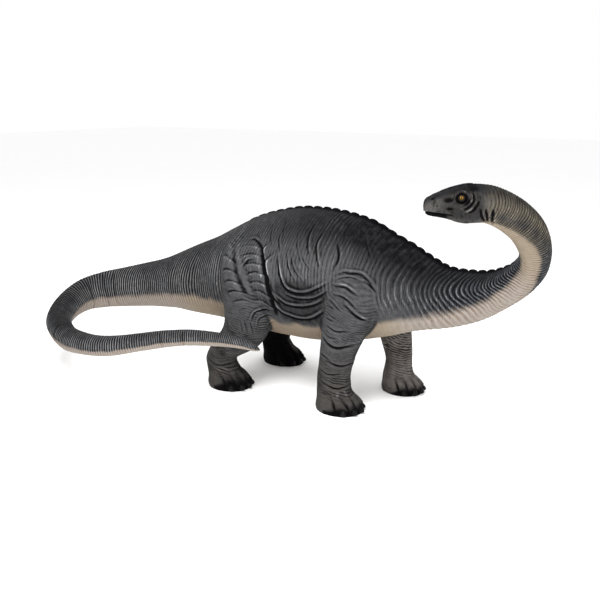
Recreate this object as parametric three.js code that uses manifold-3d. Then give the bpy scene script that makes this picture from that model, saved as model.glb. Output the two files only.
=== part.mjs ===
// A garden or park statue of a long-necked dinosaur, moulded and painted.
// It walks on four feet, its neck curls round so that the head looks back along its right side,
// and its long tail sweeps out behind and curls forward again on the same side.
// Millimetres. +X is the way the body walks, +Y is the animal's left, +Z is up, the floor is z = 0.

import * as THREE from 'three';
import { mergeVertices } from 'three/addons/utils/BufferGeometryUtils.js';
import Module from 'manifold-3d';

const wasm = await Module();
wasm.setup();

// Sizes shared by the whole statue
const GAP = 0.3;                    // clear gap between pieces that touch
const MIDLINE = 30;                 // y of the trunk's middle plane, between the feet
const TO_ORIGIN = [204, 214, 0];    // moves the middle of the statue's footprint box to the origin

// The back is a little sharper than an ellipse and the belly a little fuller
const BACK_POWER = 1.14;
const BELLY_POWER = 0.95;

// Stations from the snout to the tip of the tail.
// Centre x, y, z, then half the width, the height above the centre and the depth below it.
const HEAD_STATIONS = [
  [1034, -668, 1353, 50, 36, 37],
  [1070, -652, 1358, 54, 52, 51],
  [1108, -632, 1364, 61, 67, 64],
  [1150, -608, 1369, 76, 82, 80],
  [1204, -580, 1371, 88, 97, 96],
  [1254, -548, 1371, 88, 96, 94],
];
const NECK_STATIONS = [
  [1300, -514, 1365, 88, 94, 90],
  [1352, -460, 1338, 90, 92, 90],
  [1404, -398, 1292, 92, 92, 92],
  [1443, -325, 1226, 90, 92, 90],
  [1460, -248, 1136, 82, 90, 86],
  [1438, -175, 1046, 81, 88, 88],
  [1387, -120, 970, 88, 90, 90],
  [1309, -65, 892, 98, 97, 96],
  [1207, -20, 829, 116, 108, 116],
  [1073, 10, 777, 142, 138, 152],
  [919, 25, 740, 166, 181, 180],
];
const TRUNK_STATIONS = [
  [761, MIDLINE, 730, 202, 246, 214],
  [580, MIDLINE, 735, 256, 322, 285],
  [380, MIDLINE, 740, 312, 402, 345],
  [150, MIDLINE, 742, 348, 440, 388],
  [-80, MIDLINE, 738, 356, 440, 400],
  [-310, MIDLINE, 718, 340, 406, 378],
  [-530, MIDLINE, 682, 296, 344, 328],
  [-740, MIDLINE, 645, 240, 282, 284],
];
const TAIL_STATIONS = [
  [-960, MIDLINE, 600, 190, 236, 246],
  [-1200, MIDLINE, 545, 158, 190, 188],
  [-1431, 10, 501, 141, 168, 162],
  [-1620, -40, 466, 130, 154, 146],
  [-1755, -130, 444, 120, 142, 131],
  [-1836, -262, 420, 110, 126, 114],
  [-1828, -430, 378, 98, 106, 98],
  [-1706, -622, 336, 88, 92, 90],
  [-1474, -757, 302, 80, 84, 91],
  [-1237, -808, 300, 73, 77, 73],
  [-1020, -800, 321, 67, 69, 66],
  [-800, -738, 370, 60, 61, 60],
  [-580, -634, 409, 53, 55, 54],
  [-353, -532, 412, 42, 46, 45],
  [-190, -487, 397, 30, 34, 33],
  [-72, -474, 375, 19, 20, 20],
];
const STATIONS = [...HEAD_STATIONS, ...NECK_STATIONS, ...TRUNK_STATIONS, ...TAIL_STATIONS];
const LAST_STATION = STATIONS.length - 1;

// How far the snout and the tail's tip are rounded off, in stations, and the share of the full
// size that is left on the very end
const SNOUT_ROUNDING = 0.55;
const TAIL_TIP_ROUNDING = 0.5;
const BLUNT_END = 0.05;

// Lengths of the body, each from one station number to another, with its count of rings and of
// points around a ring
const LENGTHS = [
  { name: 'head', from: 0, to: 5.4, rings: 16, around: 24 },
  { name: 'neck_upper', from: 5.4, to: 8.8, rings: 8, around: 22 },
  { name: 'neck_middle', from: 8.8, to: 12.2, rings: 9, around: 22 },
  { name: 'neck_lower', from: 12.2, to: 16.7, rings: 11, around: 26 },
  { name: 'torso', from: 16.7, to: 24.2, rings: 17, around: 36 },
  { name: 'tail_base', from: 24.2, to: 27.5, rings: 7, around: 24 },
  { name: 'tail_middle', from: 27.5, to: 30.1, rings: 7, around: 20 },
  { name: 'tail_bend', from: 30.1, to: 32.6, rings: 8, around: 20 },
  { name: 'tail_return', from: 32.6, to: 36.2, rings: 9, around: 18 },
  { name: 'tail_tip', from: 36.2, to: LAST_STATION, rings: 9, around: 14 },
];

// Low scutes along the ridge of the neck and back. They grow from the first station to full height,
// and fade to the last. The smallest keep a share of the rise, and none is quite like the next.
const SCUTE = {
  pitch: 62, half_length: 27, half_width: 17, rise: 20, sunk: 9,
  first: 11.7, full: 14, fading: 20, last: 22.6,
  smallest: 0.4, unevenness: 0.1, beat: 2.4,
};

// Legs. Height, forward shift, outward shift, half the length fore and aft, half the width.
const FRONT_LEG = [
  [0, 2, 0, 144, 120],
  [28, 4, 0, 151, 126],
  [70, -8, 0, 134, 118],
  [120, -32, 0, 110, 104],
  [190, -37, 0, 102, 98],
  [280, -30, 0, 103, 98],
  [380, -24, 0, 115, 104],
  [480, -14, -4, 136, 114],
  [600, 2, -8, 164, 126],
  [720, 4, -24, 162, 132],
  [840, -4, -58, 138, 118],
  [930, -14, -98, 96, 84],
];
const HIND_LEG = [
  [0, 4, 0, 150, 124],
  [28, 4, 0, 158, 130],
  [70, -10, 0, 142, 120],
  [120, -44, 0, 118, 106],
  [190, -58, 0, 109, 100],
  [290, 48, -2, 163, 114],
  [400, 134, -8, 166, 124],
  [500, 158, -12, 168, 136],
  [610, 150, -20, 174, 146],
  [720, 132, -36, 180, 150],
  [830, 112, -68, 176, 138],
  [930, 90, -112, 150, 110],
  [1000, 76, -150, 96, 64],
];
const LEG_RINGS = 15;
const LEG_AROUND = 22;
const LEAN = { from: 200, to: 700 };   // heights between which a leg leans to its shoulder or hip

// Each leg: its foot on the floor, its side, how far it leans forward at the top, and its girth
const LEGS = [
  { name: 'leg_front_right', shape: FRONT_LEG, foot: [334, -224], side: -1, lean: 66, girth: 1.03 },
  { name: 'leg_front_left', shape: FRONT_LEG, foot: [521, 274], side: 1, lean: -126, girth: 0.95 },
  { name: 'leg_hind_right', shape: HIND_LEG, foot: [-482, -262], side: -1, lean: 0, girth: 1 },
  { name: 'leg_hind_left', shape: HIND_LEG, foot: [-450, 324], side: 1, lean: -44, girth: 1 },
];

// Claws: one blunt nail on each toe, around the front of the foot
const CLAW_ANGLES = [-64, -33, -4, 25, 55];
const CLAW = { half_depth: 21, half_width: 19, half_height: 20, height: 26, inset: 7 };

// Head features. Places are a station number and an angle from the top of the head.
const EYE = { station: 3.7, angle: 65, radius: 18, sunk: 9 };
const SOCKET = { radius: 26, depth: 9 };
const BROW = { station: 3.7, angle: 44, half_length: 30, half_width: 11, rise: 8 };
const NOSTRIL = { station: 2.85, angle: 65, half_length: 17, half_height: 10, depth: 8 };
const CHEEK_HOLLOW = { station: 2.85, angle: 101, half_length: 15, half_height: 6, depth: 6 };

// The mouth runs from a front station to its corner, at these depths below the head's middle line
const MOUTH = {
  front: 0.5, at_front: 27, corner: 2.95, at_corner: 54,
  gap: 4, depth: 7, reach: 60, half_width: 120,
};

// Colours of the painted finish
const SKIN_COLOUR = 0x4a4b4e;
const CLAW_COLOUR = 0x1c1b1a;
const EYE_COLOUR = 0xb8862a;

// A solid for joining and cutting, from a closed geometry
function solidOf(geometry) {
  const bare = geometry.clone();
  bare.deleteAttribute('normal');
  bare.deleteAttribute('uv');
  const merged = mergeVertices(bare, 1e-4);
  return new wasm.Manifold(new wasm.Mesh({
    numProp: 3,
    vertProperties: Float32Array.from(merged.attributes.position.array),
    triVerts: Uint32Array.from(merged.index.array),
  }));
}

// The largest closed surface of a solid, as a geometry
function geometryOf(solid) {
  const pieces = solid.decompose();
  const largest = pieces.reduce((best, piece) => (piece.volume() > best.volume() ? piece : best));
  const mesh = largest.getMesh();
  const geometry = new THREE.BufferGeometry();
  geometry.setAttribute('position', new THREE.BufferAttribute(mesh.vertProperties, 3));
  geometry.setIndex(new THREE.BufferAttribute(mesh.triVerts, 1));
  geometry.computeVertexNormals();
  return geometry;
}

// A closed loft: a capped cylinder whose points are moved to where place(along, angle, out) says.
// along runs from 0 to 1, angle is in radians, out is 0 on the axis and 1 on the surface.
function loft(rings, around, place) {
  const tube = new THREE.CylinderGeometry(1, 1, 1, around, rings);
  const position = tube.attributes.position;
  const point = new THREE.Vector3();
  for (let i = 0; i < position.count; i++) {
    point.fromBufferAttribute(position, i);
    const out = Math.hypot(point.x, point.z);
    const angle = Math.atan2(-point.x, point.z);
    const moved = place(0.5 - point.y, angle, Math.round(out));
    position.setXYZ(i, moved.x, moved.y, moved.z);
  }
  return solidOf(tube);
}

const smoothstep = (from, to, value) => THREE.MathUtils.smoothstep(value, from, to);
const radians = THREE.MathUtils.degToRad;
const power = (value, exponent) => Math.sign(value) * Math.abs(value) ** exponent;

// Curves through the stations, one for the centres and one for the sizes
const centreLine = new THREE.CatmullRomCurve3(
  STATIONS.map(([x, y, z]) => new THREE.Vector3(x, y, z)), false, 'catmullrom', 0.5);
const sizeLine = new THREE.CatmullRomCurve3(
  STATIONS.map(([, , , wide, above, below]) => new THREE.Vector3(wide, above, below)),
  false, 'catmullrom', 0.5);

// The body's own axes at a station: where it is, forward towards the head, up, and to the left
function axesAt(station) {
  const t = station / LAST_STATION;
  const centre = centreLine.getPoint(t);
  const forward = centreLine.getTangent(t).negate();
  const up = new THREE.Vector3(0, 0, 1).addScaledVector(forward, -forward.z).normalize();
  const left = new THREE.Vector3().crossVectors(up, forward);
  return { centre, forward, up, left };
}

// Half the width, height above and depth below at a station, rounded off at both ends of the body
function sizesAt(station) {
  const size = sizeLine.getPoint(station / LAST_STATION);
  const fromSnout = Math.min(1, station / SNOUT_ROUNDING);
  const fromTip = Math.min(1, (LAST_STATION - station) / TAIL_TIP_ROUNDING);
  const round = Math.sqrt(1 - (1 - fromSnout) ** 2) * Math.sqrt(1 - (1 - fromTip) ** 2);
  return size.multiplyScalar(Math.max(round, BLUNT_END));
}

// A point of the body's surface, at an angle from the ridge of the back towards the left,
// moved out by grow
function skinPoint(station, angle, out = 1, grow = 0, shift = 0) {
  const { centre, forward, up, left } = axesAt(station);
  const size = sizesAt(station);
  const exponent = Math.cos(angle) > 0 ? BACK_POWER : BELLY_POWER;
  const height = Math.cos(angle) > 0 ? size.y : size.z;
  return centre
    .addScaledVector(left, out * (size.x + grow) * power(Math.sin(angle), exponent))
    .addScaledVector(up, out * (height + grow) * power(Math.cos(angle), exponent))
    .addScaledVector(forward, shift);
}

// The outward direction of the body's surface
function skinNormal(station, angle) {
  const step = 0.02;
  const across = skinPoint(station, angle + step).sub(skinPoint(station, angle - step));
  const along = skinPoint(station + step, angle).sub(skinPoint(station - step, angle));
  return across.cross(along).normalize();
}

// One length of the body, its end faces half the gap back from the cut
function bodyLength({ from, to, rings, around }, grow = 0) {
  return loft(rings, around, (along, angle, out) => {
    const shift = along === 0 ? -GAP / 2 : along === 1 ? GAP / 2 : 0;
    const atEnd = (along === 0 && from === 0) || (along === 1 && to === LAST_STATION);
    return skinPoint(from + (to - from) * along, angle, out, grow, atEnd ? 0 : shift);
  });
}

// An ellipsoid with its half sizes along three axes, given as a turned basis
function ellipsoid(centre, axes, sizes, around = 8, rows = 6) {
  const ball = new THREE.SphereGeometry(1, around, rows);
  const basis = new THREE.Matrix4().makeBasis(...axes).setPosition(centre);
  ball.applyMatrix4(new THREE.Matrix4().makeScale(...sizes));
  ball.applyMatrix4(basis);
  return solidOf(ball);
}

// Axes for a feature on the skin: along the body, across it, and out of it
function featureAxes(station, angle) {
  const out = skinNormal(station, angle);
  const along = axesAt(station).forward.clone();
  along.addScaledVector(out, -along.dot(out)).normalize();
  const across = new THREE.Vector3().crossVectors(out, along);
  return [along, across, out];
}

// Length of the body between two stations
function lengthBetween(from, to) {
  const steps = 40;
  let total = 0;
  for (let i = 0; i < steps; i++) {
    const a = axesAt(from + (to - from) * i / steps).centre;
    const b = axesAt(from + (to - from) * (i + 1) / steps).centre;
    total += a.distanceTo(b);
  }
  return total;
}

// The scutes that stand on one length of the body, highest over the shoulders
function scutesOn({ from, to }) {
  const first = Math.max(from, SCUTE.first);
  const last = Math.min(to, SCUTE.last);
  if (first >= last) {
    return [];
  }
  const count = Math.floor(lengthBetween(first, last) / SCUTE.pitch);
  const scutes = [];
  for (let i = 0; i < count; i++) {
    const station = first + (last - first) * (i + 0.5) / count;
    const growing = smoothstep(SCUTE.first, SCUTE.full, station);
    const fading = 1 - smoothstep(SCUTE.fading, SCUTE.last, station);
    const share = SCUTE.smallest + (1 - SCUTE.smallest) * Math.min(growing, fading);
    const height = SCUTE.rise * share * (1 + SCUTE.unevenness * Math.sin(i * SCUTE.beat));
    scutes.push(ellipsoid(skinPoint(station, 0, 1, -SCUTE.sunk), featureAxes(station, 0),
      [SCUTE.half_length, SCUTE.half_width, SCUTE.sunk + height], 6, 4));
  }
  return scutes;
}

// A leg as a stack of level rings, grown sideways by grow; the sole is flat on the floor
function legSolid({ shape, foot, side, lean, girth }, grow = 0) {
  const line = new THREE.CatmullRomCurve3(
    shape.map(([height, ahead, outward]) => new THREE.Vector3(ahead, outward, height)),
    false, 'catmullrom', 0.5);
  const size = new THREE.CatmullRomCurve3(
    shape.map(([, , , halfLength, halfWidth]) => new THREE.Vector3(halfLength, halfWidth, 0)),
    false, 'catmullrom', 0.5);
  return loft(LEG_RINGS, LEG_AROUND, (along, angle, out) => {
    const centre = line.getPoint(1 - along);
    const half = size.getPoint(1 - along).multiplyScalar(girth);
    const leaning = lean * smoothstep(LEAN.from, LEAN.to, centre.z);
    const x = foot[0] + centre.x + leaning + out * (half.x + grow) * Math.sin(angle);
    const y = foot[1] + side * centre.y + out * (half.y + grow) * Math.cos(angle);
    const top = along === 0 ? grow : 0;
    return new THREE.Vector3(x, y, along === 1 ? 0 : centre.z + top);
  });
}

// One claw of a foot, grown by grow
function clawSolid({ shape, foot, side, girth }, degrees, grow = 0) {
  const [, ahead, , halfLength, halfWidth] = shape[1];
  const angle = radians(degrees * side);
  const out = new THREE.Vector3(Math.cos(angle), Math.sin(angle), 0);
  const across = new THREE.Vector3(-Math.sin(angle), Math.cos(angle), 0);
  const up = new THREE.Vector3(0, 0, 1);
  const centre = new THREE.Vector3(
    foot[0] + ahead + (girth * halfLength - CLAW.inset) * Math.cos(angle),
    foot[1] + (girth * halfWidth - CLAW.inset) * Math.sin(angle),
    CLAW.height);
  return ellipsoid(centre, [out, across, up],
    [CLAW.half_depth + grow, CLAW.half_width + grow, CLAW.half_height + grow], 6, 5);
}

// The eyeball on one side, grown by grow
function eyeSolid(side, grow = 0) {
  const angle = side * radians(EYE.angle);
  const axes = featureAxes(EYE.station, angle);
  const centre = skinPoint(EYE.station, angle).addScaledVector(axes[2], -EYE.sunk);
  const radius = EYE.radius + grow;
  return ellipsoid(centre, axes, [radius, radius, radius], 10, 8);
}

// A shallow hollow or a low swelling on the side of the head
function headFeature(side, { station, angle }, halfLength, halfWidth, depth, around = 8, rows = 6) {
  const turned = side * radians(angle);
  const centre = skinPoint(station, turned);
  return ellipsoid(centre, featureAxes(station, turned), [halfLength, halfWidth, depth], around, rows);
}

// The line of the mouth: a slot round the muzzle, open outwards and as deep as MOUTH.depth
function mouthSlot(headLength) {
  const snout = axesAt(MOUTH.front);
  const corner = axesAt(MOUTH.corner);
  const front = snout.centre.addScaledVector(snout.up, -MOUTH.at_front);
  const back = corner.centre.addScaledVector(corner.up, -MOUTH.at_corner);
  const length = front.distanceTo(back);
  const along = front.clone().sub(back).normalize();
  const up = new THREE.Vector3().crossVectors(along, corner.left).normalize();
  const left = new THREE.Vector3().crossVectors(up, along);
  const slot = new THREE.BoxGeometry(length + MOUTH.reach, 2 * MOUTH.half_width, MOUTH.gap);
  slot.translate((length + MOUTH.reach) / 2, 0, 0);
  slot.applyMatrix4(new THREE.Matrix4().makeBasis(along, left, up).setPosition(back));
  const core = bodyLength({ ...headLength, rings: 8, around: 12 }, -MOUTH.depth);
  return solidOf(slot).subtract(core);
}

// The head with its brows, eye sockets, nostrils, cheek hollows and mouth
function headSolid(headLength) {
  let head = bodyLength(headLength);
  for (const side of [-1, 1]) {
    head = head
      .add(headFeature(side, BROW, BROW.half_length, BROW.half_width, BROW.rise))
      .subtract(headFeature(side, EYE, SOCKET.radius, SOCKET.radius, SOCKET.depth, 12))
      .subtract(headFeature(side, NOSTRIL, NOSTRIL.half_length, NOSTRIL.half_height, NOSTRIL.depth))
      .subtract(headFeature(side, CHEEK_HOLLOW,
        CHEEK_HOLLOW.half_length, CHEEK_HOLLOW.half_height, CHEEK_HOLLOW.depth))
      .subtract(eyeSolid(side, GAP));
  }
  return head.subtract(mouthSlot(headLength));
}

// Put the statue together
const group = new THREE.Group();
group.position.set(...TO_ORIGIN);

function addPiece(name, solid, colour, roughness) {
  const material = new THREE.MeshStandardMaterial({ color: colour, roughness, metalness: 0 });
  const mesh = new THREE.Mesh(geometryOf(solid), material);
  mesh.name = name;
  group.add(mesh);
}

for (const length of LENGTHS) {
  let solid = length.name === 'head' ? headSolid(length) : bodyLength(length);
  const room = bodyLength({ ...length, around: 12 }, 3 * SCUTE.rise);
  for (const scute of scutesOn(length)) {
    solid = solid.add(scute.intersect(room));
  }
  if (length.name === 'torso') {
    for (const leg of LEGS) {
      solid = solid.subtract(legSolid(leg, GAP));
    }
  }
  addPiece(length.name, solid, SKIN_COLOUR, 0.7);
}

for (const leg of LEGS) {
  let solid = legSolid(leg);
  CLAW_ANGLES.forEach((degrees, i) => {
    solid = solid.subtract(clawSolid(leg, degrees, GAP));
    addPiece(`claw_${leg.name.slice(4)}_${i + 1}`, clawSolid(leg, degrees), CLAW_COLOUR, 0.5);
  });
  addPiece(leg.name, solid, SKIN_COLOUR, 0.7);
}

for (const [name, side] of [['eye_right', -1], ['eye_left', 1]]) {
  addPiece(name, eyeSolid(side), EYE_COLOUR, 0.15);
}

export default group;
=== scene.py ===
# %% [markdown]
# # A painted dinosaur statue
# The statue in the photo is one moulded shell: a long-necked dinosaur that walks on four feet, with
# its neck curled back along its right side and its tail swept round on the same side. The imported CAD
# part gives the frame: where the trunk, the legs, the neck and the tail are, in metres.
# This script puts one skin over that frame, so that no seam shows, and then works on the skin the
# way a sculptor and a painter would: folds first, then the head and the feet, then the paint.

# %% The frame and the tools
import itertools
import math

import bpy
import numpy as np
from mathutils import Matrix, Vector
from mathutils.bvhtree import BVHTree
from mathutils.kdtree import KDTree


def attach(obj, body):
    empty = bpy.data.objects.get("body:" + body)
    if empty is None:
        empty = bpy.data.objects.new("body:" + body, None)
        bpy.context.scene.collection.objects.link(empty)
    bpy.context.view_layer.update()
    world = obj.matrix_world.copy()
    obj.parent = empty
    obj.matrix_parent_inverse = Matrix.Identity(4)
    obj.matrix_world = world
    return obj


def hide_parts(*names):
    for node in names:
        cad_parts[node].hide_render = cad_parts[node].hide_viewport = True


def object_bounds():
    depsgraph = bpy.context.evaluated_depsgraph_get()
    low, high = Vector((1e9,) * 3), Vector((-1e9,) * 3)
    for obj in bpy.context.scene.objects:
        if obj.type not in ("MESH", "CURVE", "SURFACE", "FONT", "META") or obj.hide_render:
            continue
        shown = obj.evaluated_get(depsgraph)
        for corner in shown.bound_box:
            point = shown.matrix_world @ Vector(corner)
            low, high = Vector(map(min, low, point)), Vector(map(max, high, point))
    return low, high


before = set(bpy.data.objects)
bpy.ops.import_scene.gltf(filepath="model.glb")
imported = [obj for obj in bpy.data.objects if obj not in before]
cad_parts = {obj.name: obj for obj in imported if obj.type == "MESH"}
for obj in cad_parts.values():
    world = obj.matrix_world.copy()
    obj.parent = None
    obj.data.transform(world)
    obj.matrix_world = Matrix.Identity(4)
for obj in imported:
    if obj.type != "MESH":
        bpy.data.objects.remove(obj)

box_at_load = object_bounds()
CLAW_NODES = sorted(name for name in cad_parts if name.startswith("claw"))
EYE_NODES = ["eye_right", "eye_left"]
FLESH_NODES = sorted(set(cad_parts) - set(CLAW_NODES) - set(EYE_NODES))
print(len(FLESH_NODES), "nodes of flesh,", len(CLAW_NODES), "claws,", len(EYE_NODES), "eyes")
print("box of the part", [round(v, 3) for corner in box_at_load for v in corner])

# %% [markdown]
# ## The body as stations
# The body is one long tube from the snout to the tip of the tail. Each station holds the middle of
# the tube, half its width, its height above the middle and its depth below, in millimetres. They
# are the same stations as in the CAD part, so the skin lies on the solids. A smooth curve through
# them gives every place between. Further on, a place along the body is often given as a number of
# stations, such as 2.5 for halfway between the third and the fourth, and its angle from the ridge.

# %% Stations of the body
MM = 0.001
MIDLINE = 30                          # y of the trunk's middle plane
TO_ORIGIN = np.array([204, 214, 0])   # from the stations' origin to the frame's
BACK_POWER = 1.14                     # above 1 the back is narrower than an ellipse
BELLY_POWER = 0.95                    # below 1 the belly is fuller than one
SNOUT_ROUNDING = 0.55                 # stations over which the snout rounds off
TAIL_TIP_ROUNDING = 0.5
SKIN_INSET = 2.2 * MM                 # the skin lies this far inside the solids, below its highest folds

HEAD_STATIONS = [
    [1034, -668, 1353, 50, 36, 37],
    [1070, -652, 1358, 54, 52, 51],
    [1108, -632, 1364, 61, 67, 64],
    [1150, -608, 1369, 76, 82, 80],
    [1204, -580, 1371, 88, 97, 96],
    [1254, -548, 1371, 88, 96, 94],
]
NECK_STATIONS = [
    [1300, -514, 1365, 88, 94, 90],
    [1352, -460, 1338, 90, 92, 90],
    [1404, -398, 1292, 92, 92, 92],
    [1443, -325, 1226, 90, 92, 90],
    [1460, -248, 1136, 82, 90, 86],
    [1438, -175, 1046, 81, 88, 88],
    [1387, -120, 970, 88, 90, 90],
    [1309, -65, 892, 98, 97, 96],
    [1207, -20, 829, 116, 108, 116],
    [1073, 10, 777, 142, 138, 152],
    [919, 25, 740, 166, 181, 180],
]
TRUNK_STATIONS = [
    [761, MIDLINE, 730, 202, 246, 214],
    [580, MIDLINE, 735, 256, 322, 285],
    [380, MIDLINE, 740, 312, 402, 345],
    [150, MIDLINE, 742, 348, 440, 388],
    [-80, MIDLINE, 738, 356, 440, 400],
    [-310, MIDLINE, 718, 340, 406, 378],
    [-530, MIDLINE, 682, 296, 344, 328],
    [-740, MIDLINE, 645, 240, 282, 284],
]
TAIL_STATIONS = [
    [-960, MIDLINE, 600, 190, 236, 246],
    [-1200, MIDLINE, 545, 158, 190, 188],
    [-1431, 10, 501, 141, 168, 162],
    [-1620, -40, 466, 130, 154, 146],
    [-1755, -130, 444, 120, 142, 131],
    [-1836, -262, 420, 110, 126, 114],
    [-1828, -430, 378, 98, 106, 98],
    [-1706, -622, 336, 88, 92, 90],
    [-1474, -757, 302, 80, 84, 91],
    [-1237, -808, 300, 73, 77, 73],
    [-1020, -800, 321, 67, 69, 66],
    [-800, -738, 370, 60, 61, 60],
    [-580, -634, 409, 53, 55, 54],
    [-353, -532, 412, 42, 46, 45],
    [-190, -487, 397, 30, 34, 33],
    [-72, -474, 375, 19, 20, 20],
]
STATIONS = np.array(HEAD_STATIONS + NECK_STATIONS + TRUNK_STATIONS + TAIL_STATIONS, float)
CENTRES = (STATIONS[:, :3] + TO_ORIGIN) * MM
HALF_SIZES = STATIONS[:, 3:] * MM
LAST_STATION = len(STATIONS) - 1


def smooth_curve(points, at):
    """A smooth curve through the points; at is a number of points along it, such as 2.5."""
    at = np.clip(np.atleast_1d(np.asarray(at, float)), 0, len(points) - 1)
    start = np.minimum(at.astype(int), len(points) - 2)
    part = (at - start)[:, None]
    ends = np.vstack([2 * points[0] - points[1], points, 2 * points[-1] - points[-2]])
    before, here, there, after = (ends[start + step] for step in range(4))
    return 0.5 * (2 * here + (there - before) * part
                  + (2 * before - 5 * here + 4 * there - after) * part ** 2
                  + (3 * here - before - 3 * there + after) * part ** 3)


def smoothstep(low, high, value):
    """0 below low, 1 above high and a smooth ramp between."""
    part = np.clip((value - low) / (high - low), 0, 1)
    return part * part * (3 - 2 * part)


def unit(vectors):
    return vectors / np.linalg.norm(vectors, axis=-1, keepdims=True)


def body_axes(station):
    """Middle of the body, and its forward, up and left directions, at each station."""
    step = 0.001
    centre = smooth_curve(CENTRES, station)
    ahead = smooth_curve(CENTRES, np.maximum(np.atleast_1d(station) - step, 0))
    behind = smooth_curve(CENTRES, np.minimum(np.atleast_1d(station) + step, LAST_STATION))
    forward = unit(ahead - behind)
    up = unit(np.array([0, 0, 1]) - forward * forward[:, 2:])
    left = np.cross(up, forward)
    return centre, forward, up, left


def body_points(station, angle):
    """Points of the body's surface. The angle runs from the ridge of the back towards the left."""
    station = np.atleast_1d(np.asarray(station, float))
    centre, _, up, left = body_axes(station)
    half = smooth_curve(HALF_SIZES, station)
    from_snout = 1 - np.minimum(1, station / SNOUT_ROUNDING)
    from_tip = 1 - np.minimum(1, (LAST_STATION - station) / TAIL_TIP_ROUNDING)
    rounded = np.sqrt(np.maximum(0, (1 - from_snout ** 2) * (1 - from_tip ** 2)))
    across = np.sin(angle)
    upward = np.cos(angle)
    exponent = np.where(upward > 0, BACK_POWER, BELLY_POWER)
    tall = np.where(upward > 0, half[:, 1], half[:, 2])
    wide_part = half[:, 0] * rounded * np.sign(across) * np.abs(across) ** exponent
    tall_part = tall * rounded * np.sign(upward) * np.abs(upward) ** exponent
    return centre + left * wide_part[:, None] + up * tall_part[:, None]


FINE_STEPS = 4000                     # steps in which the length of the body is measured
fine_stations = np.linspace(0, LAST_STATION, FINE_STEPS + 1)
fine_middle = smooth_curve(CENTRES, fine_stations)
fine_steps = np.linalg.norm(np.diff(fine_middle, axis=0), axis=1)
fine_length = np.concatenate([[0], np.cumsum(fine_steps)])


def along_body(station):
    """Metres from the snout, measured along the middle of the body."""
    return np.interp(station, fine_stations, fine_length)


print("the body is", round(fine_length[-1], 2), "m long along its middle")

# %% [markdown]
# ## A tube of rings
# The skin starts as a tube of rings. Its rings are close together where the moulded wrinkles are
# fine: 2 mm apart on the head, 3 mm on the neck and tail and 5 mm on the trunk. The head and the
# trunk have the most points around a ring and the thin tail the fewest, so that a fold has enough
# points on it everywhere. Where the number changes, five-sided faces join a ring to one with twice
# its points.

# %% The plain tube of the body
RING_SPACING = [
    (0, 2.2), (5.2, 2.4), (6, 2.9), (9, 3.0), (12, 4.0), (17, 5.0), (23, 5.0),
    (25, 3.8), (28, 3.2), (36, 3.0), (39, 2.6), (40, 2.2),
]                                     # a station and the millimetres between rings there
POINTS_AROUND = [(5.5, 320), (15.6, 160), (25.2, 320), (28.2, 160), (LAST_STATION + 1, 80)]
END_RINGS = 9                         # extra rings on the rounded snout and the tail's tip
END_SHARE = 0.6                       # the share of the rounding that they cover


def table(rows, value):
    """Reads a short table of pairs at any value between them."""
    places, results = zip(*rows)
    return np.interp(value, places, results)


def ring_stations():
    """Stations of all rings, from the snout to the tip of the tail."""
    density = 1 / (table(RING_SPACING, fine_stations) * MM)
    counted = np.concatenate([[0], np.cumsum((density[1:] + density[:-1]) / 2 * fine_steps)])
    even = np.interp(np.arange(0, counted[-1]), counted, fine_stations)
    after_snout = even > SNOUT_ROUNDING * END_SHARE
    before_tip = even < LAST_STATION - TAIL_TIP_ROUNDING * END_SHARE
    even = even[after_snout & before_tip]
    turn = np.linspace(0, math.acos(1 - END_SHARE), END_RINGS + 1)[1:]
    snout = SNOUT_ROUNDING * (1 - np.cos(turn))
    tip = LAST_STATION - TAIL_TIP_ROUNDING * (1 - np.cos(turn))
    return np.concatenate([snout, even, tip[::-1]])


def tube_mesh(rings, counts, first_tip, last_tip):
    """Vertices and faces of a closed tube. rings holds one array of points for each ring."""
    starts = np.concatenate([[0], np.cumsum(counts)])
    points = np.vstack(rings + [first_tip, last_tip])
    tip_index = starts[-1]
    faces = []
    for ring in range(len(rings) - 1):
        near, far = starts[ring], starts[ring + 1]
        count, next_count = counts[ring], counts[ring + 1]
        if count == next_count:
            for i in range(count):
                j = (i + 1) % count
                faces.append((near + i, near + j, far + j, far + i))
        elif count > next_count:
            for i in range(next_count):
                j = (i + 1) % next_count
                faces.append((near + 2 * i, near + 2 * i + 1, near + 2 * j, far + j, far + i))
        else:
            for i in range(count):
                j = (i + 1) % count
                faces.append((near + i, near + j, far + 2 * j, far + 2 * i + 1, far + 2 * i))
    for i in range(counts[0]):
        faces.append((tip_index, (i + 1) % counts[0], i))
    last = starts[-2]
    for i in range(counts[-1]):
        faces.append((tip_index + 1, last + i, last + (i + 1) % counts[-1]))
    return points, faces


def make_object(name, points, faces):
    mesh = bpy.data.meshes.new(name)
    mesh.from_pydata(points.tolist(), [], faces)
    mesh.update()
    made = bpy.data.objects.new(name, mesh)
    bpy.context.scene.collection.objects.link(made)
    return made


body_rings = []
body_counts = []
body_station = []
body_angle = []
for station in ring_stations():
    count = next(number for limit, number in POINTS_AROUND if station < limit)
    angle = np.arange(count) / count * math.tau
    body_rings.append(body_points(np.full(count, station), angle))
    body_counts.append(count)
    body_station.append(np.full(count, station))
    body_angle.append(angle)
snout_tip = body_points([0.0], np.zeros(1))
tail_tip = body_points([LAST_STATION], np.zeros(1))
body_vertices, body_faces = tube_mesh(body_rings, body_counts, snout_tip, tail_tip)
body_station = np.concatenate(body_station + [[0, LAST_STATION]])
body_angle = np.concatenate(body_angle + [[0, 0]])
body_angle = (body_angle + math.pi) % math.tau - math.pi
print(len(body_counts), "rings,", len(body_vertices), "points on the body")

# %% [markdown]
# ## The legs
# Each leg is a stack of level rings that leans to its shoulder or hip. The left front leg leads, and
# the two hind feet stand almost side by side. A row of a leg's shape holds a height, the shift
# forwards and outwards there, and half its length and width, in millimetres. All of it is again the
# same as in the CAD part.

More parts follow.
